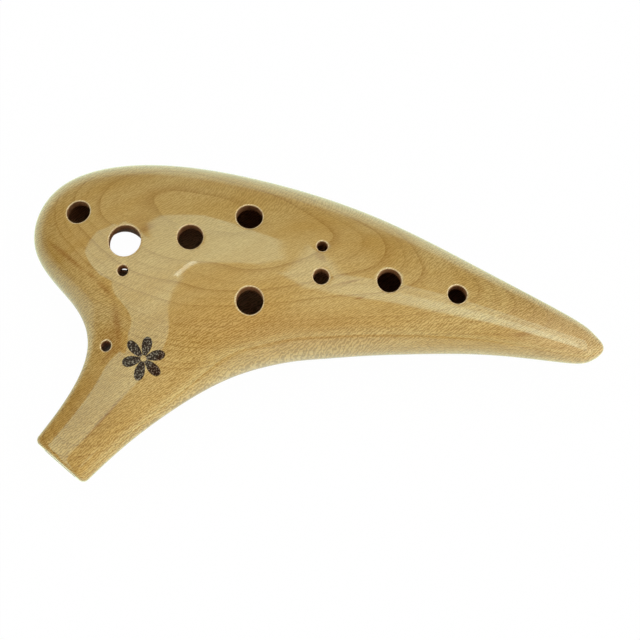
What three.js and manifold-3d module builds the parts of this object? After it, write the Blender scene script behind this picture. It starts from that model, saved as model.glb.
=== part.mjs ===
// A twelve-hole transverse ocarina in lacquered hardwood, lying on its back with the finger holes up.
//
// The body is two carved halves glued along a flat seam, the front with the finger holes and the back
// with the thumb holes. The back half is milled with a sloping channel for the breath. A wedge-shaped
// fipple block fills the channel up to the seam and leaves the windway under it, which blows across
// the window on to the labium. Two hidden dowels register the halves on the glue line.
//
// Millimetres. X runs from the round end to the tail, Y away from the player and Z up out of the
// finger holes. The origin is under the middle of the outline, on the surface that the belly rests on.

import * as THREE from "three";
import { mergeVertices } from "three/addons/utils/BufferGeometryUtils.js";
import Module from "manifold-3d";

const wasm = await Module();
wasm.setup();

// Overall sizes
const LENGTH = 175;
const DEPTH = 98;
const FRONT_HEIGHT = 22; // from the seam to the crown over the finger holes
const BACK_HEIGHT = 23; // from the seam to the belly
const WALL = 5.5;
const CREST_SHIFT_SHARE = 0.15; // of half a section's length, by which the front's crest leans to the player
const LIP_ROUND = 1.8; // the eased edge round the mouthpiece's end face
const FULLNESS = 2.05; // exponent of the superelliptic cross-section: 2 is an ellipse

// Voicing: the windway, its window and the labium
const WINDWAY_WIDTH = 12.4;
const WINDWAY_HEIGHT = 1.4;
const WINDWAY_LENGTH = 36;
const WINDWAY_ROOF_DEPTH = 4.6; // below the seam, at the end face
const WINDWAY_SLOPE_DEG = 9;
const WINDOW_LENGTH = 5.4;
const LABIUM_LIFT = 0.6; // the labium's edge stands this far into the jet
const LABIUM_RAMP_DEG = 23;
const RAMP_SIDE_FLARE = 14; // the ramp's walls lean out, by this much at the cutter's far corners
const BLOCK_CHAMFER = 0.7;
const GLUE_GAP = 0.3;

// Bores, by the finger that covers each
const LEFT_LITTLE_BORE = 7.3;
const LEFT_RING_BORE = 9.8;
const LEFT_MIDDLE_BORE = 7.8;
const LEFT_INDEX_BORE = 8.0;
const LEFT_SUB_BORE = 3.3;
const RIGHT_INDEX_BORE = 8.1;
const RIGHT_MIDDLE_BORE = 4.8;
const RIGHT_SUB_BORE = 3.3;
const RIGHT_RING_BORE = 7.3;
const RIGHT_LITTLE_BORE = 5.8;
const LEFT_THUMB_BORE = 13;
const RIGHT_THUMB_BORE = 9;
const STRAP_BORE = 3.2;
const RIM_EASE = 0.45; // the rim's rounding, across and down

// Dowels across the seam
const DOWEL_DIAMETER = 4;
const DOWEL_LENGTH = 8;
const DOWEL_CLEARANCE = 0.3;
const NECK_DOWEL_WALL = 0.6; // wood between the breath's channel and the dowel's bore

// How finely curved forms are divided
const SKIN_STEPS = 66;
const SKIN_SIDES = 20;
const LIP_STEPS = 3;
const CHAMBER_STEPS = 40;
const CHAMBER_SIDES = 14;
const BORE_SIDES = 24;
const SPREAD_SAMPLES = 2400; // along the body, from which the sections' stations are picked
const TRAVEL_PER_RADIAN = 45; // sections stand as close for this much travel as for a radian of turning
const CUT_OVERRUN = 6;

// Cross-sections from the mouthpiece's end to the tail's tip, fanned about the player's side of the
// body. Each row gives the two ends of a section on the outline, the outer one round by the neck, the
// round end and the far side, the inner one along the player's side, as shares of LENGTH and DEPTH
// from the middle. Then come the section's heights as shares of FRONT_HEIGHT and BACK_HEIGHT.
const STATION_SHARES = [
  [-0.4925, -0.378, -0.4065, -0.5115, 0.215, 0.43],
  [-0.437, -0.2375, -0.328, -0.3795, 0.27, 0.48],
  [-0.4045, -0.0845, -0.2345, -0.256, 0.41, 0.58],
  [-0.4345, 0.0615, -0.154, -0.177, 0.67, 0.76],
  [-0.5, 0.2315, -0.088, -0.139, 0.895, 0.92],
  [-0.4575, 0.4325, -0.035, -0.122, 0.985, 0.985],
  [-0.302, 0.5035, 0.017, -0.1145, 0.99, 0.985],
  [-0.1075, 0.455, 0.087, -0.106, 0.91, 0.905],
  [0.0955, 0.3375, 0.185, -0.101, 0.765, 0.755],
  [0.284, 0.1675, 0.306, -0.1055, 0.55, 0.54],
  [0.438, 0.017, 0.424, -0.129, 0.33, 0.325],
  [0.482, -0.041, 0.4735, -0.127, 0.185, 0.18],
];
const TIP_SHARE = [0.498, -0.087];
const TIP = STATION_SHARES.length;

// Where the chamber starts and ends along the stations, and over how many it rounds off
const CHAMBER_START_STATION = 2.3;
const CHAMBER_END_STATION = 9.55;
const CHAMBER_START_ROUNDING = 1.25;
const CHAMBER_END_ROUNDING = 1.1;

// Where the bores stand, as shares of LENGTH and DEPTH from the middle. All are square to the seam.
const BORES_UP = [
  { placeShares: [-0.4175, 0.3185], bore: LEFT_LITTLE_BORE },
  { placeShares: [-0.3335, 0.2135], bore: LEFT_RING_BORE },
  { placeShares: [-0.336, 0.1195], bore: LEFT_SUB_BORE },
  { placeShares: [-0.2205, 0.22], bore: LEFT_MIDDLE_BORE },
  { placeShares: [-0.1195, 0.29], bore: LEFT_INDEX_BORE },
  { placeShares: [-0.118, 0.023], bore: RIGHT_INDEX_BORE },
  { placeShares: [0.004, 0.0985], bore: RIGHT_MIDDLE_BORE },
  { placeShares: [0.006, 0.196], bore: RIGHT_SUB_BORE },
  { placeShares: [0.121, 0.092], bore: RIGHT_RING_BORE },
  { placeShares: [0.239, 0.0565], bore: RIGHT_LITTLE_BORE },
];
const BORES_DOWN = [
  { placeShares: [-0.3495, 0.2705], bore: LEFT_THUMB_BORE },
  { placeShares: [-0.0545, 0.0295], bore: RIGHT_THUMB_BORE },
];
const STRAP_HOLE = { placeShares: [-0.3685, -0.092], bore: STRAP_BORE };
const TAIL_DOWEL_PLACE_SHARE = [0.417, -0.045];

// A cubic spline with free ends through values that stand one apart, as a function of the distance
// along them. Both its slope and its curvature are continuous, so lacquer shows no kinks.
function naturalSpline(values) {
  const last = values.length - 1;
  const bend = new Array(values.length).fill(0);
  const reduced = new Array(values.length).fill(0);
  for (let i = 1; i < last; i++) {
    const pivot = 4 - reduced[i - 1];
    reduced[i] = 1 / pivot;
    bend[i] = (6 * (values[i + 1] - 2 * values[i] + values[i - 1]) - bend[i - 1]) / pivot;
  }
  for (let i = last - 1; i > 0; i--) bend[i] -= reduced[i] * bend[i + 1];
  return (along) => {
    const i = Math.min(Math.max(Math.floor(along), 0), last - 1);
    const right = along - i;
    const left = 1 - right;
    const straight = left * values[i] + right * values[i + 1];
    return straight + ((left ** 3 - left) * bend[i] + (right ** 3 - right) * bend[i + 1]) / 6;
  };
}

// The outline is one curve: down the outer ends of the sections, round the tip and back by the inner
// ones. Station t is at t along it on the outer side and at 2 TIP - t on the inner.
const outerEnds = STATION_SHARES.map(([x, y]) => [x, y]);
const innerEnds = STATION_SHARES.map(([, , x, y]) => [x, y]).reverse();
const outlineShares = [...outerEnds, TIP_SHARE, ...innerEnds];
const outlineX = naturalSpline(outlineShares.map(([x]) => x * LENGTH));
const outlineY = naturalSpline(outlineShares.map(([, y]) => y * DEPTH));
const frontHeight = naturalSpline([...STATION_SHARES.map((row) => row[4] * FRONT_HEIGHT), 0]);
const backHeight = naturalSpline([...STATION_SHARES.map((row) => row[5] * BACK_HEIGHT), 0]);

function outlinePoint(along) {
  return new THREE.Vector2(outlineX(along), outlineY(along));
}

function outlineTangent(along) {
  const step = 0.01;
  return outlinePoint(along + step).sub(outlinePoint(along - step)).normalize();
}

// One cross-section: its two ends in plan and its heights above and below the seam.
function sectionAt(station) {
  return {
    outer: outlinePoint(station),
    inner: outlinePoint(2 * TIP - station),
    up: frontHeight(station),
    down: backHeight(station),
  };
}

// The section drawn in by an amount at both ends and in both heights.
function drawnIn(section, amount) {
  const across = section.inner.clone().sub(section.outer).normalize();
  return {
    outer: section.outer.clone().addScaledVector(across, amount),
    inner: section.inner.clone().addScaledVector(across, -amount),
    up: section.up - amount,
    down: section.down - amount,
  };
}

// Points round a section from the inner end, counter-clockwise seen from the mouthpiece. The turn runs
// from 0 to PI over the front half and on to 2 PI over the back half.
function sectionPoint(section, turn) {
  const power = 2 / FULLNESS;
  const cos = Math.cos(turn);
  const sin = Math.sin(turn);
  const rise = Math.abs(sin) ** power;
  const across = Math.sign(cos) * Math.abs(cos) ** power + (sin > 0 ? CREST_SHIFT_SHARE * rise ** 2 : 0);
  const height = (sin > 0 ? section.up : section.down) * Math.sign(sin) * rise;
  const middle = section.outer.clone().add(section.inner).multiplyScalar(0.5);
  const plan = middle.addScaledVector(section.inner.clone().sub(section.outer), across / 2);
  return new THREE.Vector3(plan.x, plan.y, height);
}

function ringOf(section, fromTurn, toTurn, sides, closed) {
  const ring = [];
  const count = closed ? sides : sides + 1;
  for (let i = 0; i < count; i++) {
    const point = sectionPoint(section, fromTurn + ((toTurn - fromTurn) * i) / sides);
    const atSeam = !closed && (i === 0 || i === sides);
    if (atSeam) point.z = 0;
    ring.push(point);
  }
  return ring;
}

// A closed solid through rings of points. Each end closes on a point, given or the ring's middle.
function loft(rings, startPoint, endPoint) {
  const sides = rings[0].length;
  const positions = [];
  const faces = [];
  rings.flat().forEach((p) => positions.push(p.x, p.y, p.z));
  for (let ring = 0; ring < rings.length - 1; ring++) {
    for (let side = 0; side < sides; side++) {
      const here = ring * sides + side;
      const beside = ring * sides + ((side + 1) % sides);
      faces.push(here, here + sides, beside, beside, here + sides, beside + sides);
    }
  }
  const middleOf = (ring) =>
    ring.reduce((sum, p) => sum.add(p), new THREE.Vector3()).divideScalar(ring.length);
  const start = startPoint ?? middleOf(rings[0]);
  const end = endPoint ?? middleOf(rings.at(-1));
  const startIndex = positions.length / 3;
  positions.push(start.x, start.y, start.z, end.x, end.y, end.z);
  const lastRing = (rings.length - 1) * sides;
  for (let side = 0; side < sides; side++) {
    const next = (side + 1) % sides;
    faces.push(startIndex, side, next, startIndex + 1, lastRing + next, lastRing + side);
  }
  const geometry = new THREE.BufferGeometry();
  geometry.setAttribute("position", new THREE.Float32BufferAttribute(positions, 3));
  geometry.setIndex(faces);
  return geometry;
}

function solidOf(geometry) {
  const plain = geometry.clone();
  plain.deleteAttribute("normal");
  plain.deleteAttribute("uv");
  const merged = mergeVertices(plain);
  const mesh = new wasm.Mesh({
    numProp: 3,
    vertProperties: new Float32Array(merged.attributes.position.array),
    triVerts: new Uint32Array(merged.index.array),
  });
  return new wasm.Manifold(mesh);
}

function geometryOf(solid) {
  const mesh = solid.getMesh();
  const geometry = new THREE.BufferGeometry();
  geometry.setAttribute("position", new THREE.BufferAttribute(mesh.vertProperties, mesh.numProp));
  geometry.setIndex(new THREE.BufferAttribute(mesh.triVerts, 1));
  const faceted = geometry.toNonIndexed();
  faceted.computeVertexNormals();
  return faceted;
}

function cutAway(solid, ...cutters) {
  return cutters.reduce((left, cutter) => left.subtract(solidOf(cutter)), solid);
}

// Stations from one up to the tip, which they leave out, closest together where the outline turns most.
function spreadStations(from, count) {
  const samples = [{ station: from, effort: 0 }];
  for (let i = 1; i <= SPREAD_SAMPLES; i++) {
    const station = from + ((TIP - from) * i) / SPREAD_SAMPLES;
    const last = samples.at(-1);
    const pairs = [[last.station, station], [2 * TIP - last.station, 2 * TIP - station]];
    const effort = pairs.reduce((sum, [a, b]) => {
      const turned = outlineTangent(a).angleTo(outlineTangent(b));
      return sum + turned + outlinePoint(a).distanceTo(outlinePoint(b)) / TRAVEL_PER_RADIAN;
    }, last.effort);
    samples.push({ station, effort });
  }
  const total = samples.at(-1).effort;
  const stations = [];
  for (let step = 0; step < count; step++) {
    stations.push(samples.find(({ effort }) => effort >= (total * step) / count).station);
  }
  return stations;
}

// The skin of one half: the lip's eased edge, then sections to the tip, closed flat on the seam.
function carvedHalf(fromTurn) {
  const lengthPerStation = outlinePoint(0)
    .add(outlinePoint(2 * TIP))
    .distanceTo(outlinePoint(1).add(outlinePoint(2 * TIP - 1))) / 2;
  const sections = [];
  for (let step = 0; step < LIP_STEPS; step++) {
    const angle = ((Math.PI / 2) * step) / LIP_STEPS;
    const inward = LIP_ROUND * (1 - Math.cos(angle));
    const easing = LIP_ROUND * (1 - Math.sin(angle));
    sections.push(drawnIn(sectionAt(inward / lengthPerStation), easing));
  }
  sections.push(...spreadStations(LIP_ROUND / lengthPerStation, SKIN_STEPS).map(sectionAt));
  const toTurn = fromTurn + Math.PI;
  const rings = sections.map((section) => ringOf(section, fromTurn, toTurn, SKIN_SIDES, false));
  return loft(rings, undefined, new THREE.Vector3(outlineX(TIP), outlineY(TIP), 0));
}

// How far a rounded end has opened, from 0 at its tip to 1 where its rounding is over.
function opened(share) {
  const left = 1 - Math.min(Math.max(share, 0), 1);
  return Math.sqrt(1 - left * left);
}

// The air chamber keeps WALL inside the skin, and rounds off at both ends.
function chamberSection(station) {
  const section = sectionAt(station);
  const across = section.inner.clone().sub(section.outer).normalize();
  const outerInset = WALL / Math.abs(across.cross(outlineTangent(station)));
  const innerInset = WALL / Math.abs(across.cross(outlineTangent(2 * TIP - station)));
  const outer = section.outer.clone().addScaledVector(across, outerInset);
  const inner = section.inner.clone().addScaledVector(across, -innerInset);
  const middle = outer.clone().add(inner).multiplyScalar(0.5);
  const open =
    opened((station - CHAMBER_START_STATION) / CHAMBER_START_ROUNDING) *
    opened((CHAMBER_END_STATION - station) / CHAMBER_END_ROUNDING);
  return {
    outer: middle.clone().lerp(outer, open),
    inner: middle.clone().lerp(inner, open),
    up: (section.up - WALL) * open,
    down: (section.down - WALL) * open,
  };
}

function chamber() {
  const rings = [];
  const span = CHAMBER_END_STATION - CHAMBER_START_STATION;
  for (let step = 1; step < CHAMBER_STEPS; step++) {
    const share = (1 - Math.cos((Math.PI * step) / CHAMBER_STEPS)) / 2;
    const section = chamberSection(CHAMBER_START_STATION + span * share);
    rings.push(ringOf(section, 0, 2 * Math.PI, 2 * CHAMBER_SIDES, true));
  }
  const endPoint = (station) => {
    const { outer, inner } = chamberSection(station);
    return new THREE.Vector3((outer.x + inner.x) / 2, (outer.y + inner.y) / 2, 0);
  };
  return loft(rings, endPoint(CHAMBER_START_STATION), endPoint(CHAMBER_END_STATION));
}

// Where a function that changes sign between low and high does so.
function crossing(low, high, valueAt) {
  const sign = Math.sign(valueAt(low));
  for (let halving = 0; halving < 40; halving++) {
    const middle = (low + high) / 2;
    if (Math.sign(valueAt(middle)) === sign) low = middle;
    else high = middle;
  }
  return low;
}

// How far along a section a point lies, from -1 at its outer end to 1 at its inner one.
function shareAcross(point, { outer, inner }) {
  const middle = outer.clone().add(inner).multiplyScalar(0.5);
  const half = inner.clone().sub(middle);
  return point.clone().sub(middle).dot(half) / half.lengthSq();
}

// The station whose section runs over a point in plan, between its ends and not beyond them.
function stationOver(point) {
  const offLine = (station) => {
    const { outer, inner } = sectionAt(station);
    return inner.clone().sub(outer).cross(point.clone().sub(outer));
  };
  const parts = 10 * TIP;
  for (let part = 0; part < parts; part++) {
    const [from, to] = [(part * TIP) / parts, ((part + 1) * TIP) / parts];
    const within = Math.abs(shareAcross(point, sectionAt((from + to) / 2))) <= 1;
    if (within && offLine(from) * offLine(to) <= 0) return crossing(from, to, offLine);
  }
  throw new Error("a bore stands off the body");
}

// The height of the skin over a point in plan, up or down from the seam.
function skinHeight(x, y, side) {
  const point = new THREE.Vector2(x, y);
  const section = sectionAt(stationOver(point));
  const across = shareAcross(point, section);
  const riseAt = (unshifted) => (1 - Math.abs(unshifted) ** FULLNESS) ** (1 / FULLNESS);
  const shift = side > 0 ? CREST_SHIFT_SHARE : 0;
  const unshifted = crossing(-1, 1, (a) => a + shift * riseAt(a) ** 2 - across);
  return side * (side > 0 ? section.up : section.down) * riseAt(unshifted);
}

// A cutter square to the seam. It runs straight from a level up or down to just short of the skin,
// then flares to leave an eased rim, which follows the skin all the way round.
function boreCutter({ placeShares, bore }, side, innerLevel) {
  const [x, y] = [placeShares[0] * LENGTH, placeShares[1] * DEPTH];
  const outerLevel = side * (FRONT_HEIGHT + BACK_HEIGHT);
  const ringAt = (radius, levelAt) => {
    const ring = [];
    for (let i = 0; i < BORE_SIDES; i++) {
      const angle = (-side * 2 * Math.PI * i) / BORE_SIDES;
      const [px, py] = [x + radius * Math.cos(angle), y + radius * Math.sin(angle)];
      ring.push(new THREE.Vector3(px, py, levelAt(px, py)));
    }
    return ring;
  };
  const skin = (px, py) => skinHeight(px, py, side);
  const wide = bore / 2 + RIM_EASE;
  return loft([
    ringAt(bore / 2, () => innerLevel),
    ringAt(bore / 2, (px, py) => skin(px, py) - side * RIM_EASE),
    ringAt(wide, skin),
    ringAt(wide + RIM_EASE, (px, py) => skin(px, py) + side * RIM_EASE),
    ringAt(wide + RIM_EASE, () => outerLevel),
  ]);
}

function fingerBore(hole, side) {
  const [x, y] = [hole.placeShares[0] * LENGTH, hole.placeShares[1] * DEPTH];
  return boreCutter(hole, side, skinHeight(x, y, side) - side * 2 * WALL);
}

// The strap's bore runs right through the solid wood beside the neck, past the seam in each half.
function strapBore(side) {
  return boreCutter(STRAP_HOLE, side, -side * CUT_OVERRUN);
}

// The voicing's own frame: x into the body along the windway's roof, y across it, z towards the front.
// Its origin is in the end face, at the middle of the roof.
const lipOuter = outlinePoint(0);
const lipInner = outlinePoint(2 * TIP);
const lipMiddle = lipOuter.clone().add(lipInner).multiplyScalar(0.5);
const lipAcross = new THREE.Vector3(lipOuter.x - lipInner.x, lipOuter.y - lipInner.y, 0).normalize();
const lipInward = lipAcross.clone().cross(new THREE.Vector3(0, 0, 1));
const slope = THREE.MathUtils.degToRad(WINDWAY_SLOPE_DEG);

function voicingMatrix(tilt) {
  const along = lipInward.clone().multiplyScalar(Math.cos(tilt)).setZ(-Math.sin(tilt));
  const up = along.clone().cross(lipAcross);
  return new THREE.Matrix4()
    .makeBasis(along, lipAcross, up)
    .setPosition(lipMiddle.x, lipMiddle.y, -WINDWAY_ROOF_DEPTH);
}

// A prism across the voicing, from an outline in its x and z.
function voicingPrism(outline, width, tilt) {
  const shape = new THREE.Shape(outline.map(([x, z]) => new THREE.Vector2(x, z)));
  const geometry = new THREE.ExtrudeGeometry(shape, { depth: width, bevelEnabled: false });
  geometry.rotateX(Math.PI / 2).translate(0, width / 2, 0);
  return geometry.applyMatrix4(voicingMatrix(tilt));
}

const windowEnd = WINDWAY_LENGTH + WINDOW_LENGTH;

// The channel milled from the seam: the windway and the block's seat, then the way into the chamber.
function channelCutters() {
  const top = WINDWAY_ROOF_DEPTH + WINDWAY_LENGTH;
  const lip = -CUT_OVERRUN;
  const seat = [[lip, 0], [windowEnd, 0], [windowEnd, top], [lip, top]];
  const throat = windowEnd + 2 * WALL;
  const way = [
    [WINDWAY_LENGTH, LABIUM_LIFT],
    [throat, LABIUM_LIFT],
    [throat, top],
    [WINDWAY_LENGTH, top],
  ];
  return [voicingPrism(seat, WINDWAY_WIDTH, slope), voicingPrism(way, WINDWAY_WIDTH, slope)];
}

// The window cut through the back, and the ramp behind it that leaves the labium's edge.
function windowCutter() {
  const outline = [
    [WINDWAY_LENGTH, -BACK_HEIGHT],
    [windowEnd, -BACK_HEIGHT],
    [windowEnd, WINDWAY_HEIGHT],
    [WINDWAY_LENGTH, WINDWAY_HEIGHT],
  ];
  return voicingPrism(outline, WINDWAY_WIDTH, slope);
}

function rampCutter() {
  const drop = Math.tan(THREE.MathUtils.degToRad(LABIUM_RAMP_DEG));
  const half = WINDWAY_WIDTH / 2;
  const ringAt = (along, flare) => {
    const foot = LABIUM_LIFT - along * drop;
    return [
      new THREE.Vector3(windowEnd + along, half, foot),
      new THREE.Vector3(windowEnd + along, half + flare, foot - BACK_HEIGHT),
      new THREE.Vector3(windowEnd + along, -half - flare, foot - BACK_HEIGHT),
      new THREE.Vector3(windowEnd + along, -half, foot),
    ];
  };
  const ramp = loft([ringAt(-WINDOW_LENGTH / 2, 0), ringAt(WINDWAY_LENGTH, RAMP_SIDE_FLARE)]);
  return ramp.applyMatrix4(voicingMatrix(slope));
}

// The fipple block: flat on the seam above, sloping with the windway below, chamfered at its exit.
function fippleBlock() {
  const floorAt = (along) => WINDWAY_HEIGHT / Math.cos(slope) - along * Math.tan(slope);
  const end = WINDWAY_LENGTH * Math.cos(slope);
  const outline = [
    [0, WINDWAY_ROOF_DEPTH],
    [0, floorAt(0)],
    [end - BLOCK_CHAMFER, floorAt(end - BLOCK_CHAMFER)],
    [end, floorAt(end) + BLOCK_CHAMFER],
    [end, WINDWAY_ROOF_DEPTH],
  ];
  return voicingPrism(outline, WINDWAY_WIDTH - 2 * GLUE_GAP, 0);
}

function pinAt({ x, y }, diameter, length) {
  const geometry = new THREE.CylinderGeometry(diameter / 2, diameter / 2, length, BORE_SIDES);
  return geometry.rotateX(Math.PI / 2).translate(x, y, 0);
}

// The neck's dowel stands beside the fipple block's inner end, on the player's side.
const neckDowelAside = WINDWAY_WIDTH / 2 + NECK_DOWEL_WALL + DOWEL_CLEARANCE + DOWEL_DIAMETER / 2;
const neckDowelPlace = new THREE.Vector3(lipMiddle.x, lipMiddle.y, 0)
  .addScaledVector(lipInward, WINDWAY_LENGTH)
  .addScaledVector(lipAcross, -neckDowelAside);
const tailDowelPlace = new THREE.Vector2(
  TAIL_DOWEL_PLACE_SHARE[0] * LENGTH,
  TAIL_DOWEL_PLACE_SHARE[1] * DEPTH,
);
const dowels = [
  { name: "neck_dowel", place: neckDowelPlace },
  { name: "tail_dowel", place: tailDowelPlace },
];
const dowelBores = dowels.map(({ place }) =>
  pinAt(place, DOWEL_DIAMETER + 2 * DOWEL_CLEARANCE, DOWEL_LENGTH + 2 * DOWEL_CLEARANCE),
);

const air = chamber();
const frontShell = cutAway(
  solidOf(carvedHalf(0)),
  air,
  ...BORES_UP.map((hole) => fingerBore(hole, 1)),
  strapBore(1),
  ...dowelBores,
);
const backShell = cutAway(
  solidOf(carvedHalf(Math.PI)),
  air,
  ...channelCutters(),
  windowCutter(),
  rampCutter(),
  ...BORES_DOWN.map((hole) => fingerBore(hole, -1)),
  strapBore(-1),
  ...dowelBores,
);

const shellWood = new THREE.MeshStandardMaterial({ color: 0xc9a26a, roughness: 0.25, metalness: 0 });
const blockWood = new THREE.MeshStandardMaterial({ color: 0xb98a58, roughness: 0.6, metalness: 0 });
const dowelWood = new THREE.MeshStandardMaterial({ color: 0xd2b483, roughness: 0.7, metalness: 0 });

const ocarina = new THREE.Group();

function addPiece(name, geometry, material) {
  const mesh = new THREE.Mesh(geometry, material);
  mesh.name = name;
  ocarina.add(mesh);
}

addPiece("front_shell", geometryOf(frontShell), shellWood);
addPiece("back_shell", geometryOf(backShell), shellWood);
addPiece("fipple_block", fippleBlock(), blockWood);
dowels.forEach(({ name, place }) => {
  addPiece(name, pinAt(place, DOWEL_DIAMETER, DOWEL_LENGTH), dowelWood);
});

// The group stands on its lowest point, over the middle of its outline.
const bounds = new THREE.Box3().setFromObject(ocarina);
ocarina.position.set(-(bounds.min.x + bounds.max.x) / 2, -(bounds.min.y + bounds.max.y) / 2, -bounds.min.z);

export default ocarina;
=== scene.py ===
"""Looks of a lacquered wooden ocarina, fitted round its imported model.

The body is two carved halves of straight-grained beech under a clear gloss lacquer, with a
fipple block set into the neck. Forms are worked out in millimetres in the seam's frame, whose
z is zero on the flat seam between the halves, and are placed in the model's frame in metres.
"""

import logging
import math
from dataclasses import dataclass, field
from enum import Enum
from functools import cached_property
from typing import Any, Callable

import bmesh
import bpy
import numpy as np
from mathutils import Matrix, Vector
from mathutils.bvhtree import BVHTree


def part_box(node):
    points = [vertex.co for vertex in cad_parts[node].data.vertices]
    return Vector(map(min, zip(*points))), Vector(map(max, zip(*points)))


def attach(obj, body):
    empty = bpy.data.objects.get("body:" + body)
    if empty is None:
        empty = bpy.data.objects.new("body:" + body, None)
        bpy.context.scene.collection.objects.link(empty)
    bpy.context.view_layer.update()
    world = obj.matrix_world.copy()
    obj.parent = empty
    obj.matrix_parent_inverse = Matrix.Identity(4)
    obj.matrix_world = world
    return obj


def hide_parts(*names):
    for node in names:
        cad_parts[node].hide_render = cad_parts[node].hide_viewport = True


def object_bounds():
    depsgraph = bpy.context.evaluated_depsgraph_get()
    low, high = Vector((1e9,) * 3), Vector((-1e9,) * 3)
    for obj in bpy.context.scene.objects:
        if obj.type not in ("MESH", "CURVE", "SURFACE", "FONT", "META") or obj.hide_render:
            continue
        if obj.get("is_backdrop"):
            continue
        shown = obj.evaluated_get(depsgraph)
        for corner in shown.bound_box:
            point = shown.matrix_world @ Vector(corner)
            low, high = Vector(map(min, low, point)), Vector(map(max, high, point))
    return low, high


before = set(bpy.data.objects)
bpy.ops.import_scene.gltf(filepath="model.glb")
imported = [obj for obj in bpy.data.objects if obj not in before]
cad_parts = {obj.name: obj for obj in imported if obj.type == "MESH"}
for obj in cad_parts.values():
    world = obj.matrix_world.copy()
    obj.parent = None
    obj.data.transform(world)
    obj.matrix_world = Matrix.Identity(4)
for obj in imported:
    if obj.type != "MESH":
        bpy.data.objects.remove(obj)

LOG = logging.getLogger("ocarina")
METRES_PER_MM = 0.001
WHITE = (1.0, 1.0, 1.0, 1.0)

# How many radians the wave texture runs through in a unit, at a scale of one.
WAVE_RATE = 20
# The power that an area light takes for each unit of its area and its radiance.
AREA_LIGHT_RATE = 4

# Settings of the nodes that mix colours, ease values, take a placing away and reckon. A mix
# takes its share as input 0, and then two numbers as 2 and 3 or two colours as 6 and 7.
MIX_COLOURS = {"data_type": "RGBA"}
EASE = {"interpolation_type": "SMOOTHSTEP"}
UNPLACE = {"vector_type": "TEXTURE"}
DOT = {"operation": "DOT_PRODUCT"}
MULTIPLY = {"operation": "MULTIPLY"}
MULTIPLY_ADD = {"operation": "MULTIPLY_ADD"}
MAXIMUM = {"operation": "MAXIMUM"}


class Half(Enum):
    """The two carved halves, by the side of the seam that they lie on."""

    FRONT = 1
    BACK = -1


class Surface(Enum):
    """Material slots of a carved half."""

    SKIN = 0
    INSIDE = 1
    RIM = 2


def natural_spline(values: np.ndarray) -> Callable[[np.ndarray], np.ndarray]:
    """Makes a cubic spline with free ends through values that stand one apart.

    Args:
        values: One row, or one number, for each knot.

    Returns:
        A function of the distances along the knots.
    """
    count = len(values)
    system = np.eye(count)
    target = np.zeros_like(values)
    for i in range(1, count - 1):
        system[i, i - 1 : i + 2] = (1, 4, 1)
        target[i] = 6 * (values[i + 1] - 2 * values[i] + values[i - 1])
    bend = np.linalg.solve(system, target)

    def at(along: np.ndarray) -> np.ndarray:
        """Gives the spline's values.

        Args:
            along: Distances along the knots.

        Returns:
            A row, or a number, for each distance.
        """
        i = np.clip(np.floor(along).astype(int), 0, count - 2)
        right = (along - i).reshape((-1,) + (1,) * (values.ndim - 1))
        left = 1 - right
        curve = (left**3 - left) * bend[i] + (right**3 - right) * bend[i + 1]
        return left * values[i] + right * values[i + 1] + curve / 6

    return at


@dataclass
class Facets:
    """A closed surface in the seam's frame, in millimetres."""

    points: np.ndarray
    faces: list[tuple[int, ...]]
    surface: list[int]

    def outward(self) -> "Facets":
        """Turns the faces round if they point inwards.

        Returns:
            The same surface.
        """
        volume = 0.0
        for face in self.faces:
            first = self.points[face[0]]
            for a, b in zip(face[1:], face[2:]):
                volume += float(np.dot(first, np.cross(self.points[a], self.points[b])))
        if volume < 0:
            self.faces = [tuple(reversed(face)) for face in self.faces]
        return self

    def tree(self) -> BVHTree:
        """Makes a search tree of the surface, for finding the height of the skin."""
        return BVHTree.FromPolygons([Vector(p) for p in self.points], self.faces)


def loft(rings: np.ndarray, tip: np.ndarray | None, surface: list[int]) -> Facets:
    """Joins rings of points into a closed surface.

    Args:
        rings: Points, by ring and by side.
        tip: The point that the last ring closes on, or None for a flat end.
        surface: The material slot of each band between two rings.

    Returns:
        The surface, whose first ring closes flat.
    """
    count, sides, _ = rings.shape
    points = list(rings.reshape(-1, 3))
    faces: list[tuple[int, ...]] = [tuple(range(sides))]
    slots = [surface[0]]
    for ring in range(count - 1):
        for side in range(sides):
            here = ring * sides + side
            beside = ring * sides + (side + 1) % sides
            faces.append((here, here + sides, beside + sides, beside))
            slots.append(surface[ring])
    last = (count - 1) * sides
    if tip is None:
        faces.append(tuple(last + side for side in reversed(range(sides))))
        slots.append(surface[-1])
    else:
        points.append(tip)
        for side in range(sides):
            faces.append((len(points) - 1, last + (side + 1) % sides, last + side))
            slots.append(surface[-1])
    return Facets(np.array(points), faces, slots)


@dataclass(frozen=True)
class Section:
    """Cross-sections of the body: their two ends in plan, and their heights from the seam."""

    outer: np.ndarray
    inner: np.ndarray
    up: np.ndarray
    down: np.ndarray


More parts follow.
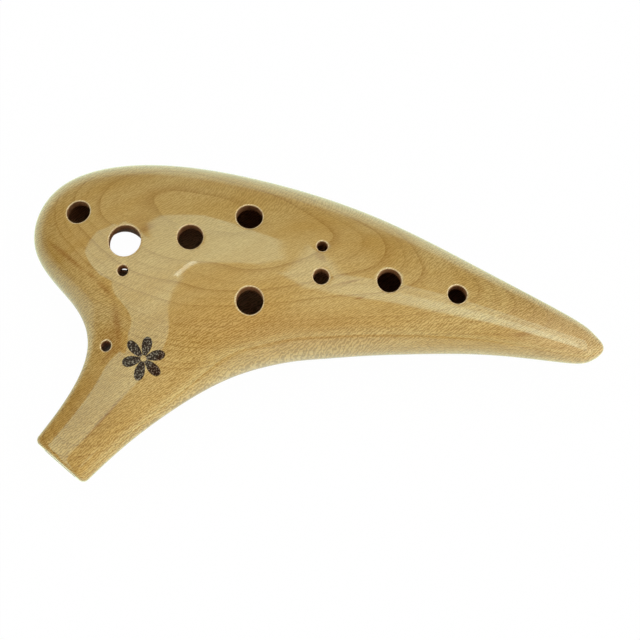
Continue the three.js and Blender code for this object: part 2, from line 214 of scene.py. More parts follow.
@dataclass(frozen=True)
class BodyForm:
    """The carved body's form, in millimetres in the seam's frame."""

    length: float = 175.0
    depth: float = 98.0
    front_height: float = 22.0
    back_height: float = 23.0
    wall: float = 5.5
    crest_shift_share: float = 0.15
    fullness: float = 2.05
    lip_round: float = 1.8
    chamber_start: float = 2.3
    chamber_end: float = 9.55
    chamber_start_rounding: float = 1.25
    chamber_end_rounding: float = 1.1
    lip_steps: int = 10
    spread_samples: int = 4000
    travel_share: float = 0.26
    tip_share: tuple[float, float] = (0.498, -0.087)
    station_shares: tuple[tuple[float, ...], ...] = (
        (-0.4925, -0.378, -0.4065, -0.5115, 0.215, 0.43),
        (-0.437, -0.2375, -0.328, -0.3795, 0.27, 0.48),
        (-0.4045, -0.0845, -0.2345, -0.256, 0.41, 0.58),
        (-0.4345, 0.0615, -0.154, -0.177, 0.67, 0.76),
        (-0.5, 0.2315, -0.088, -0.139, 0.895, 0.92),
        (-0.4575, 0.4325, -0.035, -0.122, 0.985, 0.985),
        (-0.302, 0.5035, 0.017, -0.1145, 0.99, 0.985),
        (-0.1075, 0.455, 0.087, -0.106, 0.91, 0.905),
        (0.0955, 0.3375, 0.185, -0.101, 0.765, 0.755),
        (0.284, 0.1675, 0.306, -0.1055, 0.55, 0.54),
        (0.438, 0.017, 0.424, -0.129, 0.33, 0.325),
        (0.482, -0.041, 0.4735, -0.127, 0.185, 0.18),
    )

    @property
    def tip(self) -> int:
        """The station of the tail's tip."""
        return len(self.station_shares)

    @cached_property
    def outline(self) -> Callable[[np.ndarray], np.ndarray]:
        """The outline on the seam.

        Returns:
            A function of the station, down the outer side to the tip and back by the inner.
        """
        rows = np.array(self.station_shares)
        shares = np.vstack([rows[:, 0:2], [self.tip_share], rows[::-1, 2:4]])
        return natural_spline(shares * (self.length, self.depth))

    @cached_property
    def heights(self) -> Callable[[np.ndarray], np.ndarray]:
        """The sections' heights above and below the seam."""
        shares = np.vstack([np.array(self.station_shares)[:, 4:6], [(0.0, 0.0)]])
        return natural_spline(shares * (self.front_height, self.back_height))

    def tangent(self, along: np.ndarray) -> np.ndarray:
        """Gives the outline's direction.

        Args:
            along: Distances along the outline, in stations.

        Returns:
            A direction of length one for each.
        """
        step = 0.01
        chord = self.outline(along + step) - self.outline(along - step)
        return chord / np.linalg.norm(chord, axis=1, keepdims=True)

    def section(self, station: np.ndarray) -> Section:
        """Gives the skin's cross-sections.

        Args:
            station: Where they stand.

        Returns:
            The sections.
        """
        heights = self.heights(station)
        outer = self.outline(station)
        inner = self.outline(2 * self.tip - station)
        return Section(outer, inner, heights[:, 0], heights[:, 1])

    def lip(self, steps: int) -> tuple[Section, float]:
        """Gives the eased edge round the mouthpiece's end face.

        Args:
            steps: How many sections the rounding takes.

        Returns:
            The sections, and the station where the rounding is over.
        """
        first_two = np.array([0.0, 1.0])
        middles = self.outline(first_two) + self.outline(2.0 * self.tip - first_two)
        per_station = float(np.linalg.norm(middles[1] - middles[0])) / 2
        angle = np.linspace(0, math.pi / 2, steps, endpoint=False)
        plain = self.section(self.lip_round * (1 - np.cos(angle)) / per_station)
        amount = self.lip_round * (1 - np.sin(angle))
        across = unit(plain.inner - plain.outer)
        eased = Section(
            plain.outer + across * amount[:, None],
            plain.inner - across * amount[:, None],
            plain.up - amount,
            plain.down - amount,
        )
        return eased, self.lip_round / per_station

    def chamber_section(self, station: np.ndarray) -> Section:
        """Gives the air chamber's cross-sections, which keep the wall inside the skin.

        Args:
            station: Where they stand.

        Returns:
            The sections, which close at the chamber's rounded ends.
        """
        skin = self.section(station)
        across = unit(skin.inner - skin.outer)

        def inset(tangent: np.ndarray) -> np.ndarray:
            """Gives how far along the section the wall reaches in."""
            lean = across[:, 0] * tangent[:, 1] - across[:, 1] * tangent[:, 0]
            return across * (self.wall / np.abs(lean))[:, None]

        outer = skin.outer + inset(self.tangent(station))
        inner = skin.inner - inset(self.tangent(2 * self.tip - station))
        middle = (outer + inner) / 2

        def opened(share: np.ndarray) -> np.ndarray:
            """Gives how far a rounded end has opened."""
            return np.sqrt(1 - (1 - np.clip(share, 0, 1)) ** 2)

        open_share = opened((station - self.chamber_start) / self.chamber_start_rounding) * opened(
            (self.chamber_end - station) / self.chamber_end_rounding
        )
        return Section(
            middle + (outer - middle) * open_share[:, None],
            middle + (inner - middle) * open_share[:, None],
            (skin.up - self.wall) * open_share,
            (skin.down - self.wall) * open_share,
        )

    def rings(self, section: Section, turns: np.ndarray) -> np.ndarray:
        """Gives points round each section, from the inner end.

        Args:
            section: The cross-sections.
            turns: Angles, from 0 to pi over the front half and on to 2 pi over the back.

        Returns:
            Points, by section and by angle.
        """
        power = 2 / self.fullness
        cos, sin = np.cos(turns), np.sin(turns)
        rise = np.abs(sin) ** power
        lean = np.where(sin > 0, self.crest_shift_share * rise**2, 0.0)
        across = np.sign(cos) * np.abs(cos) ** power + lean
        middle = (section.outer + section.inner) / 2
        reach = (section.inner - section.outer) / 2
        plan = middle[:, None, :] + reach[:, None, :] * across[None, :, None]
        tallest = np.where(sin > 0, section.up[:, None], section.down[:, None])
        height = tallest * (np.sign(sin) * rise)[None, :]
        return np.concatenate([plan, height[..., None]], axis=2)

    def spread(self, start: float, count: int) -> np.ndarray:
        """Gives stations up to the tip, closest together where the outline turns most.

        Args:
            start: The first station.
            count: How many there are.

        Returns:
            The stations, without the tip.
        """
        fine = np.linspace(start, self.tip, self.spread_samples)
        effort = np.zeros(len(fine))
        for along in (fine, 2 * self.tip - fine):
            points = self.outline(along)
            directions = self.tangent(along)
            travel = np.linalg.norm(np.diff(points, axis=0), axis=1)
            turning = np.linalg.norm(np.diff(directions, axis=0), axis=1)
            effort[1:] += np.cumsum(turning + travel / (self.travel_share * self.length))
        return np.interp(np.linspace(0, effort[-1], count, endpoint=False), effort, fine)

    def half(self, half: Half, steps: int, sides: int) -> Facets:
        """Builds the skin of one half, closed flat on the seam.

        Args:
            half: Which half.
            steps: Sections along the body.
            sides: Divisions of a section.

        Returns:
            The half as a solid without its hollows.
        """
        start = 0.0 if half is Half.FRONT else math.pi
        turns = np.linspace(start, start + math.pi, sides + 1)
        eased, over = self.lip(self.lip_steps)
        sections = self.section(self.spread(over, steps))
        rings = np.vstack([self.rings(eased, turns), self.rings(sections, turns)])
        rings[:, (0, -1), 2] = 0
        tip = np.append(self.outline(np.array([float(self.tip)]))[0], 0.0)
        return loft(rings, tip, [Surface.SKIN.value] * len(rings)).outward()

    def chamber(self, steps: int, sides: int) -> Facets:
        """Builds the air chamber as a solid, to be cut out of both halves.

        Args:
            steps: Divisions along the chamber.
            sides: Divisions of a section.

        Returns:
            The chamber.
        """
        share = (1 - np.cos(math.pi * np.arange(1, steps) / steps)) / 2
        stations = self.chamber_start + (self.chamber_end - self.chamber_start) * share
        turns = np.linspace(0, 2 * math.pi, sides, endpoint=False)
        rings = self.rings(self.chamber_section(stations), turns)
        return loft(rings, None, [Surface.INSIDE.value] * len(rings)).outward()


def unit(vectors: np.ndarray) -> np.ndarray:
    """Gives each vector a length of one."""
    return vectors / np.linalg.norm(vectors, axis=-1, keepdims=True)


@dataclass(frozen=True)
class Bore:
    """A round hole square to the seam, in millimetres from the middle of the outline."""

    name: str
    place_share: tuple[float, float]
    diameter: float


@dataclass(frozen=True)
class BoreTool:
    """A cutter for a bore with an eased rim that follows the skin."""

    form: BodyForm
    sides: int = 72
    ease: float = 0.55
    ease_steps: int = 6
    ease_end_deg: float = 68.0

    def cutter(self, bore: Bore, half: Half, skin: BVHTree, through: bool) -> Facets:
        """Builds the cutter of one bore.

        Args:
            bore: The hole.
            half: The half that it goes through.
            skin: The search tree of that half's skin.
            through: Whether it goes on past the seam.

        Returns:
            The cutter as a solid.
        """
        side = half.value
        beyond = self.form.front_height + self.form.back_height
        x = bore.place_share[0] * self.form.length
        y = bore.place_share[1] * self.form.depth

        def level(px: float, py: float) -> float:
            """Gives the skin's height over a point in plan."""
            hit = skin.ray_cast(Vector((px, py, side * beyond)), Vector((0, 0, -side)))[0]
            return hit.z

        radius = bore.diameter / 2
        end = math.radians(self.ease_end_deg)
        profile: list[tuple[float, float]] = []
        for theta in np.linspace(0, end, self.ease_steps + 1):
            outwards, drop = self.ease * (1 - math.cos(theta)), self.ease * (1 - math.sin(theta))
            profile.append((radius + outwards, -drop))
        reach = 2 * self.ease
        out_radius = profile[-1][0] + reach * math.sin(end)
        profile.append((out_radius, profile[-1][1] + reach * math.cos(end)))
        inner = -side * self.form.wall if through else level(x, y) - side * 2 * self.form.wall
        angles = np.arange(self.sides) * 2 * math.pi / self.sides
        rings = [[(x + radius * math.cos(a), y + radius * math.sin(a), inner) for a in angles]]
        for around, depth in profile:
            ring = []
            for a in angles:
                px, py = x + around * math.cos(a), y + around * math.sin(a)
                ring.append((px, py, level(px, py) + side * depth))
            rings.append(ring)
        rings.append([(px, py, side * beyond) for px, py, _ in rings[-1]])
        rim = [Surface.RIM.value] * self.ease_steps
        slots = [Surface.INSIDE.value] + rim + [Surface.SKIN.value] * 2
        return loft(np.array(rings), None, slots).outward()


@dataclass(frozen=True)
class Voicing:
    """The windway, its window, the labium and the fipple block, in millimetres."""

    form: BodyForm
    windway_width: float = 12.4
    windway_height: float = 1.4
    windway_length: float = 36.0
    roof_depth: float = 4.6
    slope_deg: float = 9.0
    window_length: float = 5.4
    labium_lift: float = 0.6
    ramp_deg: float = 23.0
    ramp_flare: float = 14.0
    chamfer: float = 0.7
    glue_gap: float = 0.3
    overrun: float = 6.0
    block_ease: float = 0.12

    @property
    def window_end(self) -> float:
        """Where the labium's edge stands, along the windway."""
        return self.windway_length + self.window_length

    @cached_property
    def lip(self) -> tuple[np.ndarray, np.ndarray, np.ndarray]:
        """The mouthpiece's end face.

        Returns:
            Its middle, the direction across it and the direction into the body.
        """
        ends = self.form.outline(np.array([0.0, 2.0 * self.form.tip]))
        across = unit(np.append(ends[0] - ends[1], 0.0))
        return np.append(ends.mean(axis=0), 0.0), across, np.array([across[1], -across[0], 0.0])

    def placed(self, local: np.ndarray, tilt: float) -> np.ndarray:
        """Moves points from the voicing's own axes to the seam's frame.

        Args:
            local: Points along the windway, across it and up from its roof.
            tilt: The windway's slope, in radians.

        Returns:
            The points in the seam's frame.
        """
        middle, across, inward = self.lip
        along = inward * math.cos(tilt) - np.array([0, 0, math.sin(tilt)])
        up = np.cross(along, across)
        origin = middle - np.array([0, 0, self.roof_depth])
        return origin + local[:, :1] * along + local[:, 1:2] * across + local[:, 2:3] * up

    def prism(self, outline: list[tuple[float, float]], width: float, tilt: float) -> Facets:
        """Builds a prism across the voicing.

        Args:
            outline: Its corners along the windway and up from its roof.
            width: How wide it is across the windway.
            tilt: The windway's slope, in radians.

        Returns:
            The prism.
        """
        rings = np.array([[(x, y, z) for x, z in outline] for y in (-width / 2, width / 2)])
        facets = loft(rings, None, [Surface.INSIDE.value] * 2)
        facets.points = self.placed(facets.points, tilt)
        return facets.outward()

    def cutters(self) -> list[Facets]:
        """Builds the cutters of the channel, the window and the labium's ramp.

        Returns:
            The block's seat, the way over the labium, the window and the ramp.
        """
        slope = math.radians(self.slope_deg)
        top = self.roof_depth + self.windway_length
        deep = -self.form.back_height
        end = self.window_end
        throat = end + 2 * self.form.wall

        def box(start: float, stop: float, low: float, high: float) -> list[tuple[float, float]]:
            """Gives a box's corners along the windway and up from its roof."""
            return [(start, low), (stop, low), (stop, high), (start, high)]

        outlines = (
            box(-self.overrun, end, 0, top),
            box(self.windway_length, throat, self.labium_lift, top),
            box(self.windway_length, end, deep, self.windway_height),
        )
        straight = [self.prism(outline, self.windway_width, slope) for outline in outlines]
        return straight + [self.ramp(slope)]

    def ramp(self, slope: float) -> Facets:
        """Builds the cutter of the ramp behind the window, which leaves the labium's edge.

        Args:
            slope: The windway's slope, in radians.

        Returns:
            The cutter, whose sides flare outwards.
        """
        drop = math.tan(math.radians(self.ramp_deg))
        half = self.windway_width / 2
        rings = []
        ends = ((-self.window_length / 2, 0.0), (self.windway_length, self.ramp_flare))
        for along, flare in ends:
            foot = self.labium_lift - along * drop
            deep = foot - self.form.back_height
            x, wide = self.window_end + along, half + flare
            rings.append([(x, half, foot), (x, wide, deep), (x, -wide, deep), (x, -half, foot)])
        facets = loft(np.array(rings), None, [Surface.SKIN.value] * 2)
        facets.points = self.placed(facets.points, slope)
        return facets.outward()

    def block(self) -> Facets:
        """Builds the fipple block.

        Returns:
            The block, flat on the seam above and sloping with the windway below.
        """
        slope = math.radians(self.slope_deg)
        end = self.windway_length * math.cos(slope)

        def floor(along: float) -> float:
            """Gives the height of the block's underside."""
            return self.windway_height / math.cos(slope) - along * math.tan(slope)

        outline = [
            (0, self.roof_depth),
            (0, floor(0)),
            (end - self.chamfer, floor(end - self.chamfer)),
            (end, floor(end) + self.chamfer),
            (end, self.roof_depth),
        ]
        return self.prism(outline, self.windway_width - 2 * self.glue_gap, 0.0)


@dataclass(frozen=True)
class Dowels:
    """The bores of the two hidden dowels across the seam, in millimetres."""

    form: BodyForm
    voicing: Voicing
    diameter: float = 4.0
    length: float = 8.0
    sides: int = 32
    clearance: float = 0.3
    neck_wall: float = 0.6
    tail_place_share: tuple[float, float] = (0.417, -0.045)

    @property
    def tail_place(self) -> np.ndarray:
        """The tail dowel's place in plan."""
        return np.array(self.tail_place_share) * (self.form.length, self.form.depth)

    @property
    def neck_place(self) -> np.ndarray:
        """The neck dowel's place in plan.

        Returns:
            A point beside the fipple block's inner end.
        """
        middle, across, inward = self.voicing.lip
        aside = self.voicing.windway_width / 2 + self.neck_wall + self.clearance + self.diameter / 2
        return (middle + inward * self.voicing.windway_length - across * aside)[:2]

    def cutters(self) -> list[Facets]:
        """Builds the cutters of both bores.

        Returns:
            The neck's and the tail's, which go through the seam.
        """
        radius = self.diameter / 2 + self.clearance
        reach = self.length / 2 + self.clearance
        angles = np.arange(self.sides) * 2 * math.pi / self.sides
        found = []
        for x, y in (self.neck_place, self.tail_place):
            circle = [(x + radius * math.cos(a), y + radius * math.sin(a)) for a in angles]
            rings = [[(px, py, z) for px, py in circle] for z in (-reach, reach)]
            found.append(loft(np.array(rings), None, [Surface.INSIDE.value] * 2).outward())
        return found


def linear(code: str) -> tuple[float, float, float, float]:
    """Turns an sRGB hex colour to linear.

    Args:
        code: Six hex digits, as in "c8a26a".

    Returns:
        Red, green, blue and an alpha of one.
    """
    channels = []
    for start in (0, 2, 4):
        share = int(code[start : start + 2], 16) / 255
        channels.append(share / 12.92 if share <= 0.04045 else ((share + 0.055) / 1.055) ** 2.4)
    return (channels[0], channels[1], channels[2], 1.0)


def add_node(
    tree: bpy.types.NodeTree,
    kind: str,
    settings: dict[str, Any] | None = None,
    inputs: dict[int | str, Any] | tuple[Any, ...] = (),
) -> bpy.types.Node:
    """Adds a node with its settings and links.

    Args:
        tree: The node tree.
        kind: The node's type.
        settings: Properties of the node, such as its operation.
        inputs: Sockets to link from or values to set, in order, or by name or number.

    Returns:
        The node.
    """
    node = tree.nodes.new("ShaderNode" + kind)
    for name, value in (settings or {}).items():
        setattr(node, name, value)
    for key, value in inputs.items() if isinstance(inputs, dict) else enumerate(inputs):
        if isinstance(value, bpy.types.NodeSocket):
            tree.links.new(value, node.inputs[key])
        else:
            node.inputs[key].default_value = value
    return node


def seam_place(
    tree: bpy.types.NodeTree, seam: Vector, shift: tuple[float, float, float] = (0.0, 0.0, 0.0)
) -> bpy.types.NodeSocket:
    """Gives the place on a piece, in millimetres in the seam's frame.

    Args:
        tree: The node tree.
        seam: The seam frame's origin in the model's frame, in metres.
        shift: How far the piece lay from there in its plank, in millimetres.

    Returns:
        The place.
    """
    place = add_node(tree, "TexCoord").outputs["Object"]
    origin = seam - Vector(shift) * METRES_PER_MM
    inputs = {"Vector": place, "Location": origin, "Scale": (METRES_PER_MM,) * 3}
    return add_node(tree, "Mapping", UNPLACE, inputs).outputs[0]


@dataclass(frozen=True)
class Tones:
    """The colours of a piece of beech, as sRGB hex values."""

    light: str
    dark: str
    ring: str


@dataclass(frozen=True)
class StainOrShade:
    """A streak or patch of browner or paler wood, or of painted shade, in millimetres in the seam's
    frame.
    """

    middle: tuple[float, float, float]
    turn_deg: float
    half_size: tuple[float, float, float]
    strength: float
    tone: str = "8f6029"
    edge: tuple[float, float] = (1.0, 0.15)

    def mask(self, tree: bpy.types.NodeTree, place: bpy.types.NodeSocket) -> bpy.types.NodeSocket:
        """Gives how much of the patch there is.

        Args:
            tree: The node tree.
            place: The place, in millimetres in the seam's frame.

        Returns:
            Its strength in the middle, easing to zero at its edge.
        """
        turn = (0.0, 0.0, math.radians(self.turn_deg))
        inputs = {
            "Vector": place,
            "Location": self.middle,
            "Rotation": turn,
            "Scale": self.half_size,
        }
        local = add_node(tree, "Mapping", UNPLACE, inputs).outputs[0]
        reach = add_node(tree, "VectorMath", {"operation": "LENGTH"}, (local,)).outputs["Value"]
        inputs = (reach, *self.edge, 0.0, self.strength)
        return add_node(tree, "MapRange", EASE, inputs).outputs[0]


@dataclass(frozen=True)
class BeechGrain:
    """Beech, sawn so that its growth rings lie nearly flat and its rays show as short flecks.

    Lengths are in millimetres. The curved skin cuts the rings into nested contours, and each
    ring ends in a thin darker line. Real flecks are a tenth of a millimetre wide, too fine to
    show here, so they are drawn as coarse as they need to show. Like real ones they come out
    larger where the skin turns steep, as on a quarter-sawn face.
    """

    tones: Tones
    shift: tuple[float, float, float] = (0.0, 0.0, 0.0)
    grain_turn_deg: float = 22.0
    ring_axis: tuple[float, float, float] = (0.02, 0.36, 1.0)
    ring_spacing: float = 1.5
    ring_sharpness: float = 4.5
    ring_strength: float = 0.65
    ring_end: float = 0.96
    year_levels: tuple[float, float] = (0.1, 1.0)
    year_shares: tuple[float, float] = (0.12, 1.0)
    drift_size: tuple[float, float, float] = (40.0, 16.0, 12.0)
    drift: float = 2.0
    ripple_size: tuple[float, float, float] = (12.0, 4.0, 3.0)
    ripple: float = 0.15
    sway_size: tuple[float, float, float] = (45.0, 20.0, 20.0)
    sway: float = 9.0
    cloud_size: tuple[float, float, float] = (45.0, 14.0, 9.0)
    cloud_detail: float = 2.0
    cloud_levels: tuple[float, float] = (0.3, 0.7)
    fleck_pitch: float = 0.64
    fleck_axis: tuple[float, float, float] = (-0.2, 1.0, 0.12)
    fleck_stretch: float = 1.7
    fleck_depth_share: float = 0.25
    fleck_edges: tuple[float, float] = (0.2, 0.8)
    fleck_waver: float = 6.2
    fleck_waver_size: float = 0.7
    fleck_strength: float = 1.0
    fleck_levels: tuple[float, float] = (26.0, 12.0)
    fleck_least: float = 0.55
    # What the flecks and the wood between them multiply the wood's colour by.
    fleck_pale: tuple[float, float, float] = (1.2, 1.25, 1.33)
    fleck_deep: tuple[float, float, float] = (0.77, 0.7, 0.59)
    stains_and_shade: tuple[StainOrShade, ...] = ()

    def cloud(
        self,
        tree: bpy.types.NodeTree,
        at: bpy.types.NodeSocket,
        size: tuple[float, float, float],
        detail: float = 1.0,
    ) -> bpy.types.NodeSocket:
        """Gives noise around one half.

        Args:
            tree: The node tree.
            at: The place in millimetres, with x along the grain.
            size: The size of its blots, in millimetres.
            detail: How many finer layers it has.

        Returns:
            The noise's value.
        """
        scaled = add_node(tree, "VectorMath", {"operation": "DIVIDE"}, (at, size)).outputs[0]
        inputs = {"Vector": scaled, "Scale": 1.0, "Detail": detail}
        return add_node(tree, "TexNoise", {}, inputs).outputs[0]

    def along(self, tree: bpy.types.NodeTree, place: bpy.types.NodeSocket) -> bpy.types.NodeSocket:
        """Turns x along the grain, which sways a little.

        Args:
            tree: The node tree.
            place: The place, in millimetres in the seam's frame.

        Returns:
            The place along the grain, across it and up.
        """
        turn = (0.0, 0.0, -math.radians(self.grain_turn_deg))
        inputs = {"Vector": place, "Rotation": turn}
        at = add_node(tree, "Mapping", {"vector_type": "POINT"}, inputs).outputs[0]
        sway = self.cloud(tree, at, self.sway_size, detail=0.0)
        aside = add_node(tree, "CombineXYZ", {}, {1: sway}).outputs[0]
        inputs = (aside, (0.0, self.sway, 0.0), at)
        return add_node(tree, "VectorMath", MULTIPLY_ADD, inputs).outputs[0]

    def line(self, tree: bpy.types.NodeTree, level: bpy.types.NodeSocket) -> bpy.types.NodeSocket:
        """Gives the dark line that ends each ring.

        Args:
            tree: The node tree.
            level: The place across the rings, in millimetres.

        Returns:
            How much of the line there is, which differs from ring to ring.
        """
        inputs = (level, self.ring_spacing)
        count = add_node(tree, "Math", {"operation": "DIVIDE"}, inputs).outputs[0]
        phase = add_node(tree, "Math", {"operation": "FRACT"}, (count,)).outputs[0]
        number = add_node(tree, "Math", {"operation": "FLOOR"}, (count,)).outputs[0]
        year = add_node(tree, "TexWhiteNoise", {"noise_dimensions": "1D"}, {"W": number}).outputs[0]
        inputs = (year, *self.year_levels, *self.year_shares)
        share = add_node(tree, "MapRange", EASE, inputs).outputs[0]
        inputs = (phase, self.ring_sharpness)
        grown = add_node(tree, "Math", {"operation": "POWER"}, inputs).outputs[0]
        grown = add_node(tree, "Math", MULTIPLY, (grown, share)).outputs[0]
        ended = add_node(tree, "MapRange", EASE, (phase, 1.0, self.ring_end)).outputs[0]
        return add_node(tree, "Math", MULTIPLY, (grown, ended)).outputs[0]

    def flecks(self, tree: bpy.types.NodeTree, at: bpy.types.NodeSocket) -> bpy.types.NodeSocket:
        """Gives the short dark dashes of the rays, in fine wavering rows.

        Args:
            tree: The node tree.
            at: The place in millimetres, with x along the grain.

        Returns:
            How dark the rays are.
        """
        lengthwise, upright = (1 / self.fleck_stretch, 0.0, 0.0), (0.0, 0.0, self.fleck_depth_share)
        along, across, up = (
            add_node(tree, "VectorMath", DOT, (at, axis)).outputs["Value"]
            for axis in (lengthwise, self.fleck_axis, upright)
        )
        # The pitch is coarser than that of real flecks, so that the rows show.
        inputs = {
            "Vector": add_node(tree, "CombineXYZ", {}, (along, across, up)).outputs[0],
            "Scale": math.tau / WAVE_RATE / self.fleck_pitch,
            "Distortion": self.fleck_waver,
            "Detail": 1.0,
            "Detail Scale": WAVE_RATE * self.fleck_pitch / math.tau / self.fleck_waver_size,
        }
        rows = add_node(tree, "TexWave", {"bands_direction": "Y"}, inputs).outputs["Fac"]
        return add_node(tree, "MapRange", EASE, (rows, *self.fleck_edges)).outputs[0]

    def colour(self, tree: bpy.types.NodeTree, seam: Vector) -> bpy.types.NodeSocket:
        """Builds the wood's colour.

        Args:
            tree: The node tree.
            seam: The seam frame's origin in the model's frame, in metres.

        Returns:
            The colour, for a shader.
        """
        place = seam_place(tree, seam, self.shift)
        at = self.along(tree, place)
        inputs = (place, self.ring_axis)
        level = add_node(tree, "VectorMath", DOT, inputs).outputs["Value"]
        for size, amount in ((self.drift_size, self.drift), (self.ripple_size, self.ripple)):
            inputs = (self.cloud(tree, at, size, detail=0.0), amount, level)
            level = add_node(tree, "Math", MULTIPLY_ADD, inputs).outputs[0]

        cloud = self.cloud(tree, at, self.cloud_size, self.cloud_detail)
        tone = add_node(tree, "MapRange", EASE, (cloud, *self.cloud_levels)).outputs[0]
        inputs = {0: tone, 6: linear(self.tones.light), 7: linear(self.tones.dark)}
        wood = add_node(tree, "Mix", MIX_COLOURS, inputs).outputs[2]

        inputs = (self.line(tree, level), self.ring_strength)
        amount = add_node(tree, "Math", MULTIPLY, inputs).outputs[0]
        inputs = {0: amount, 6: wood, 7: linear(self.tones.ring)}
        wood = add_node(tree, "Mix", MIX_COLOURS, inputs).outputs[2]
        # Patches of the wood's own stain, and of painted shade.
        for patch in self.stains_and_shade:
            inputs = {0: patch.mask(tree, place), 6: wood, 7: linear(patch.tone)}
            wood = add_node(tree, "Mix", MIX_COLOURS, inputs).outputs[2]

        pale, deep = (
            add_node(tree, "VectorMath", MULTIPLY, (wood, shift)).outputs[0]
            for shift in (self.fleck_pale, self.fleck_deep)
        )
        inputs = {0: self.flecks(tree, at), 6: pale, 7: deep}
        flecked = add_node(tree, "Mix", MIX_COLOURS, inputs).outputs[2]
        least = self.fleck_least * self.fleck_strength
        inputs = (level, *self.fleck_levels, least, self.fleck_strength)
        full = add_node(tree, "MapRange", EASE, inputs).outputs[0]
        inputs = {0: full, 6: wood, 7: flecked}
        return add_node(tree, "Mix", MIX_COLOURS, inputs).outputs[2]


@dataclass(frozen=True)
class BurntRosette:
    """A small six-petalled flower burnt into the wood of the neck, under the lacquer.

    Lengths are in millimetres in the seam's frame, and shares are of its radius. The burn is
    speckled dark brown, because hard and soft wood char differently.
    """

    centre: tuple[float, float, float] = (-52.8, -13.5, 10.5)
    normal: tuple[float, float, float] = (-0.22, -0.33, 0.92)
    radius: float = 7.2
    depth_share: float = 1.0
    turn_deg: float = 14.0
    petals: int = 6
    fullness: float = 0.55
    edge_share: float = 0.06
    heart_shares: tuple[float, float] = (0.1, 0.16)
    speckle: float = 0.42
    grit_detail: float = 2.0
    grit_levels: tuple[float, float] = (0.52, 0.64)
    pit_gloss: float = 0.15
    char: str = "2b190e"
    ash: str = "84705c"

    def axes(self) -> tuple[Vector, Vector, Vector]:
        """Gives the flower's own axes in the seam's frame.

        Returns:
            Its right, its back and its normal.
        """
        up = Vector(self.normal).normalized()
        right = Vector((1, 0, 0))
        right = (right - up * right.dot(up)).normalized()
        back = up.cross(right)
        turn = math.radians(self.turn_deg)
        cos, sin = math.cos(turn), math.sin(turn)
        return right * cos + back * sin, back * cos - right * sin, up

    def over(self, tree: bpy.types.NodeTree, shader: bpy.types.Node, seam: Vector) -> None:
        """Lays the burn over the shader's colour and takes gloss from its charred pits.

        Args:
            tree: The node tree.
            shader: The shader, with its wood and its lacquer.
            seam: The seam frame's origin in the model's frame, in metres.
        """
        place = seam_place(tree, seam, tuple(-c for c in self.centre))
        inputs = {0: place, "Scale": 1 / self.radius}
        scaled = add_node(tree, "VectorMath", {"operation": "SCALE"}, inputs).outputs[0]
        x, y, z = (
            add_node(tree, "VectorMath", DOT, (scaled, axis)).outputs["Value"]
            for axis in self.axes()
        )
        angle = add_node(tree, "Math", {"operation": "ARCTAN2"}, (y, x)).outputs[0]
        flat = add_node(tree, "CombineXYZ", {}, (x, y)).outputs[0]
        distance = add_node(tree, "VectorMath", {"operation": "LENGTH"}, (flat,)).outputs["Value"]
        # Both signs of the wave give petals, so it goes round half as often as there are petals.
        turned = add_node(tree, "Math", MULTIPLY, (angle, self.petals / 2)).outputs[0]
        wave = add_node(tree, "Math", {"operation": "COSINE"}, (turned,)).outputs[0]
        petal = add_node(tree, "Math", {"operation": "ABSOLUTE"}, (wave,)).outputs[0]
        inputs = (petal, self.fullness)
        reach = add_node(tree, "Math", {"operation": "POWER"}, inputs).outputs[0]
        inputs = (reach, distance)
        inside = add_node(tree, "Math", {"operation": "SUBTRACT"}, inputs).outputs[0]
        inputs = (z, 0.0, self.depth_share)
        mask = add_node(tree, "Math", {"operation": "COMPARE"}, inputs).outputs[0]
        for inputs in ((inside, 0.0, self.edge_share), (distance, *self.heart_shares)):
            part = add_node(tree, "MapRange", EASE, inputs).outputs[0]
            mask = add_node(tree, "Math", MULTIPLY, (mask, part)).outputs[0]
        inputs = {"Vector": place, "Scale": 1 / self.speckle, "Detail": self.grit_detail}
        grit = add_node(tree, "TexNoise", {}, inputs).outputs[0]
        grit = add_node(tree, "MapRange", EASE, (grit, *self.grit_levels)).outputs[0]
        inputs = {0: grit, 6: linear(self.char), 7: linear(self.ash)}
        burn = add_node(tree, "Mix", MIX_COLOURS, inputs).outputs[2]
        wood = shader.inputs["Base Color"].links[0].from_socket
        inputs = {0: mask, 6: wood, 7: burn}
        marked = add_node(tree, "Mix", MIX_COLOURS, inputs).outputs[2]
        tree.links.new(marked, shader.inputs["Base Color"])
        pits = add_node(tree, "Math", {"operation": "SUBTRACT"}, (mask, grit)).outputs[0]
        inputs = (pits, 0.0, 1.0, 1.0, self.pit_gloss)
        coat = add_node(tree, "MapRange", EASE, inputs).outputs[0]
        tree.links.new(coat, shader.inputs["Coat Weight"])


@dataclass(frozen=True)
class GlueLine:
    """The hairline where the two halves are glued, in millimetres."""

    half_width: float = 0.07
    tone: str = "86602f"

    def over(self, tree: bpy.types.NodeTree, shader: bpy.types.Node, seam: Vector) -> None:
        """Lays the hairline over the shader's colour.

        Args:
            tree: The node tree.
            shader: The shader, with its wood.
            seam: The seam frame's origin in the model's frame, in metres.
        """
        height = add_node(tree, "SeparateXYZ", {}, (seam_place(tree, seam),)).outputs[2]
        inputs = (height, 0.0, self.half_width)
        mask = add_node(tree, "Math", {"operation": "COMPARE"}, inputs).outputs[0]
        wood = shader.inputs["Base Color"].links[0].from_socket
        inputs = {0: mask, 6: wood, 7: linear(self.tone)}
        marked = add_node(tree, "Mix", MIX_COLOURS, inputs).outputs[2]
        tree.links.new(marked, shader.inputs["Base Color"])


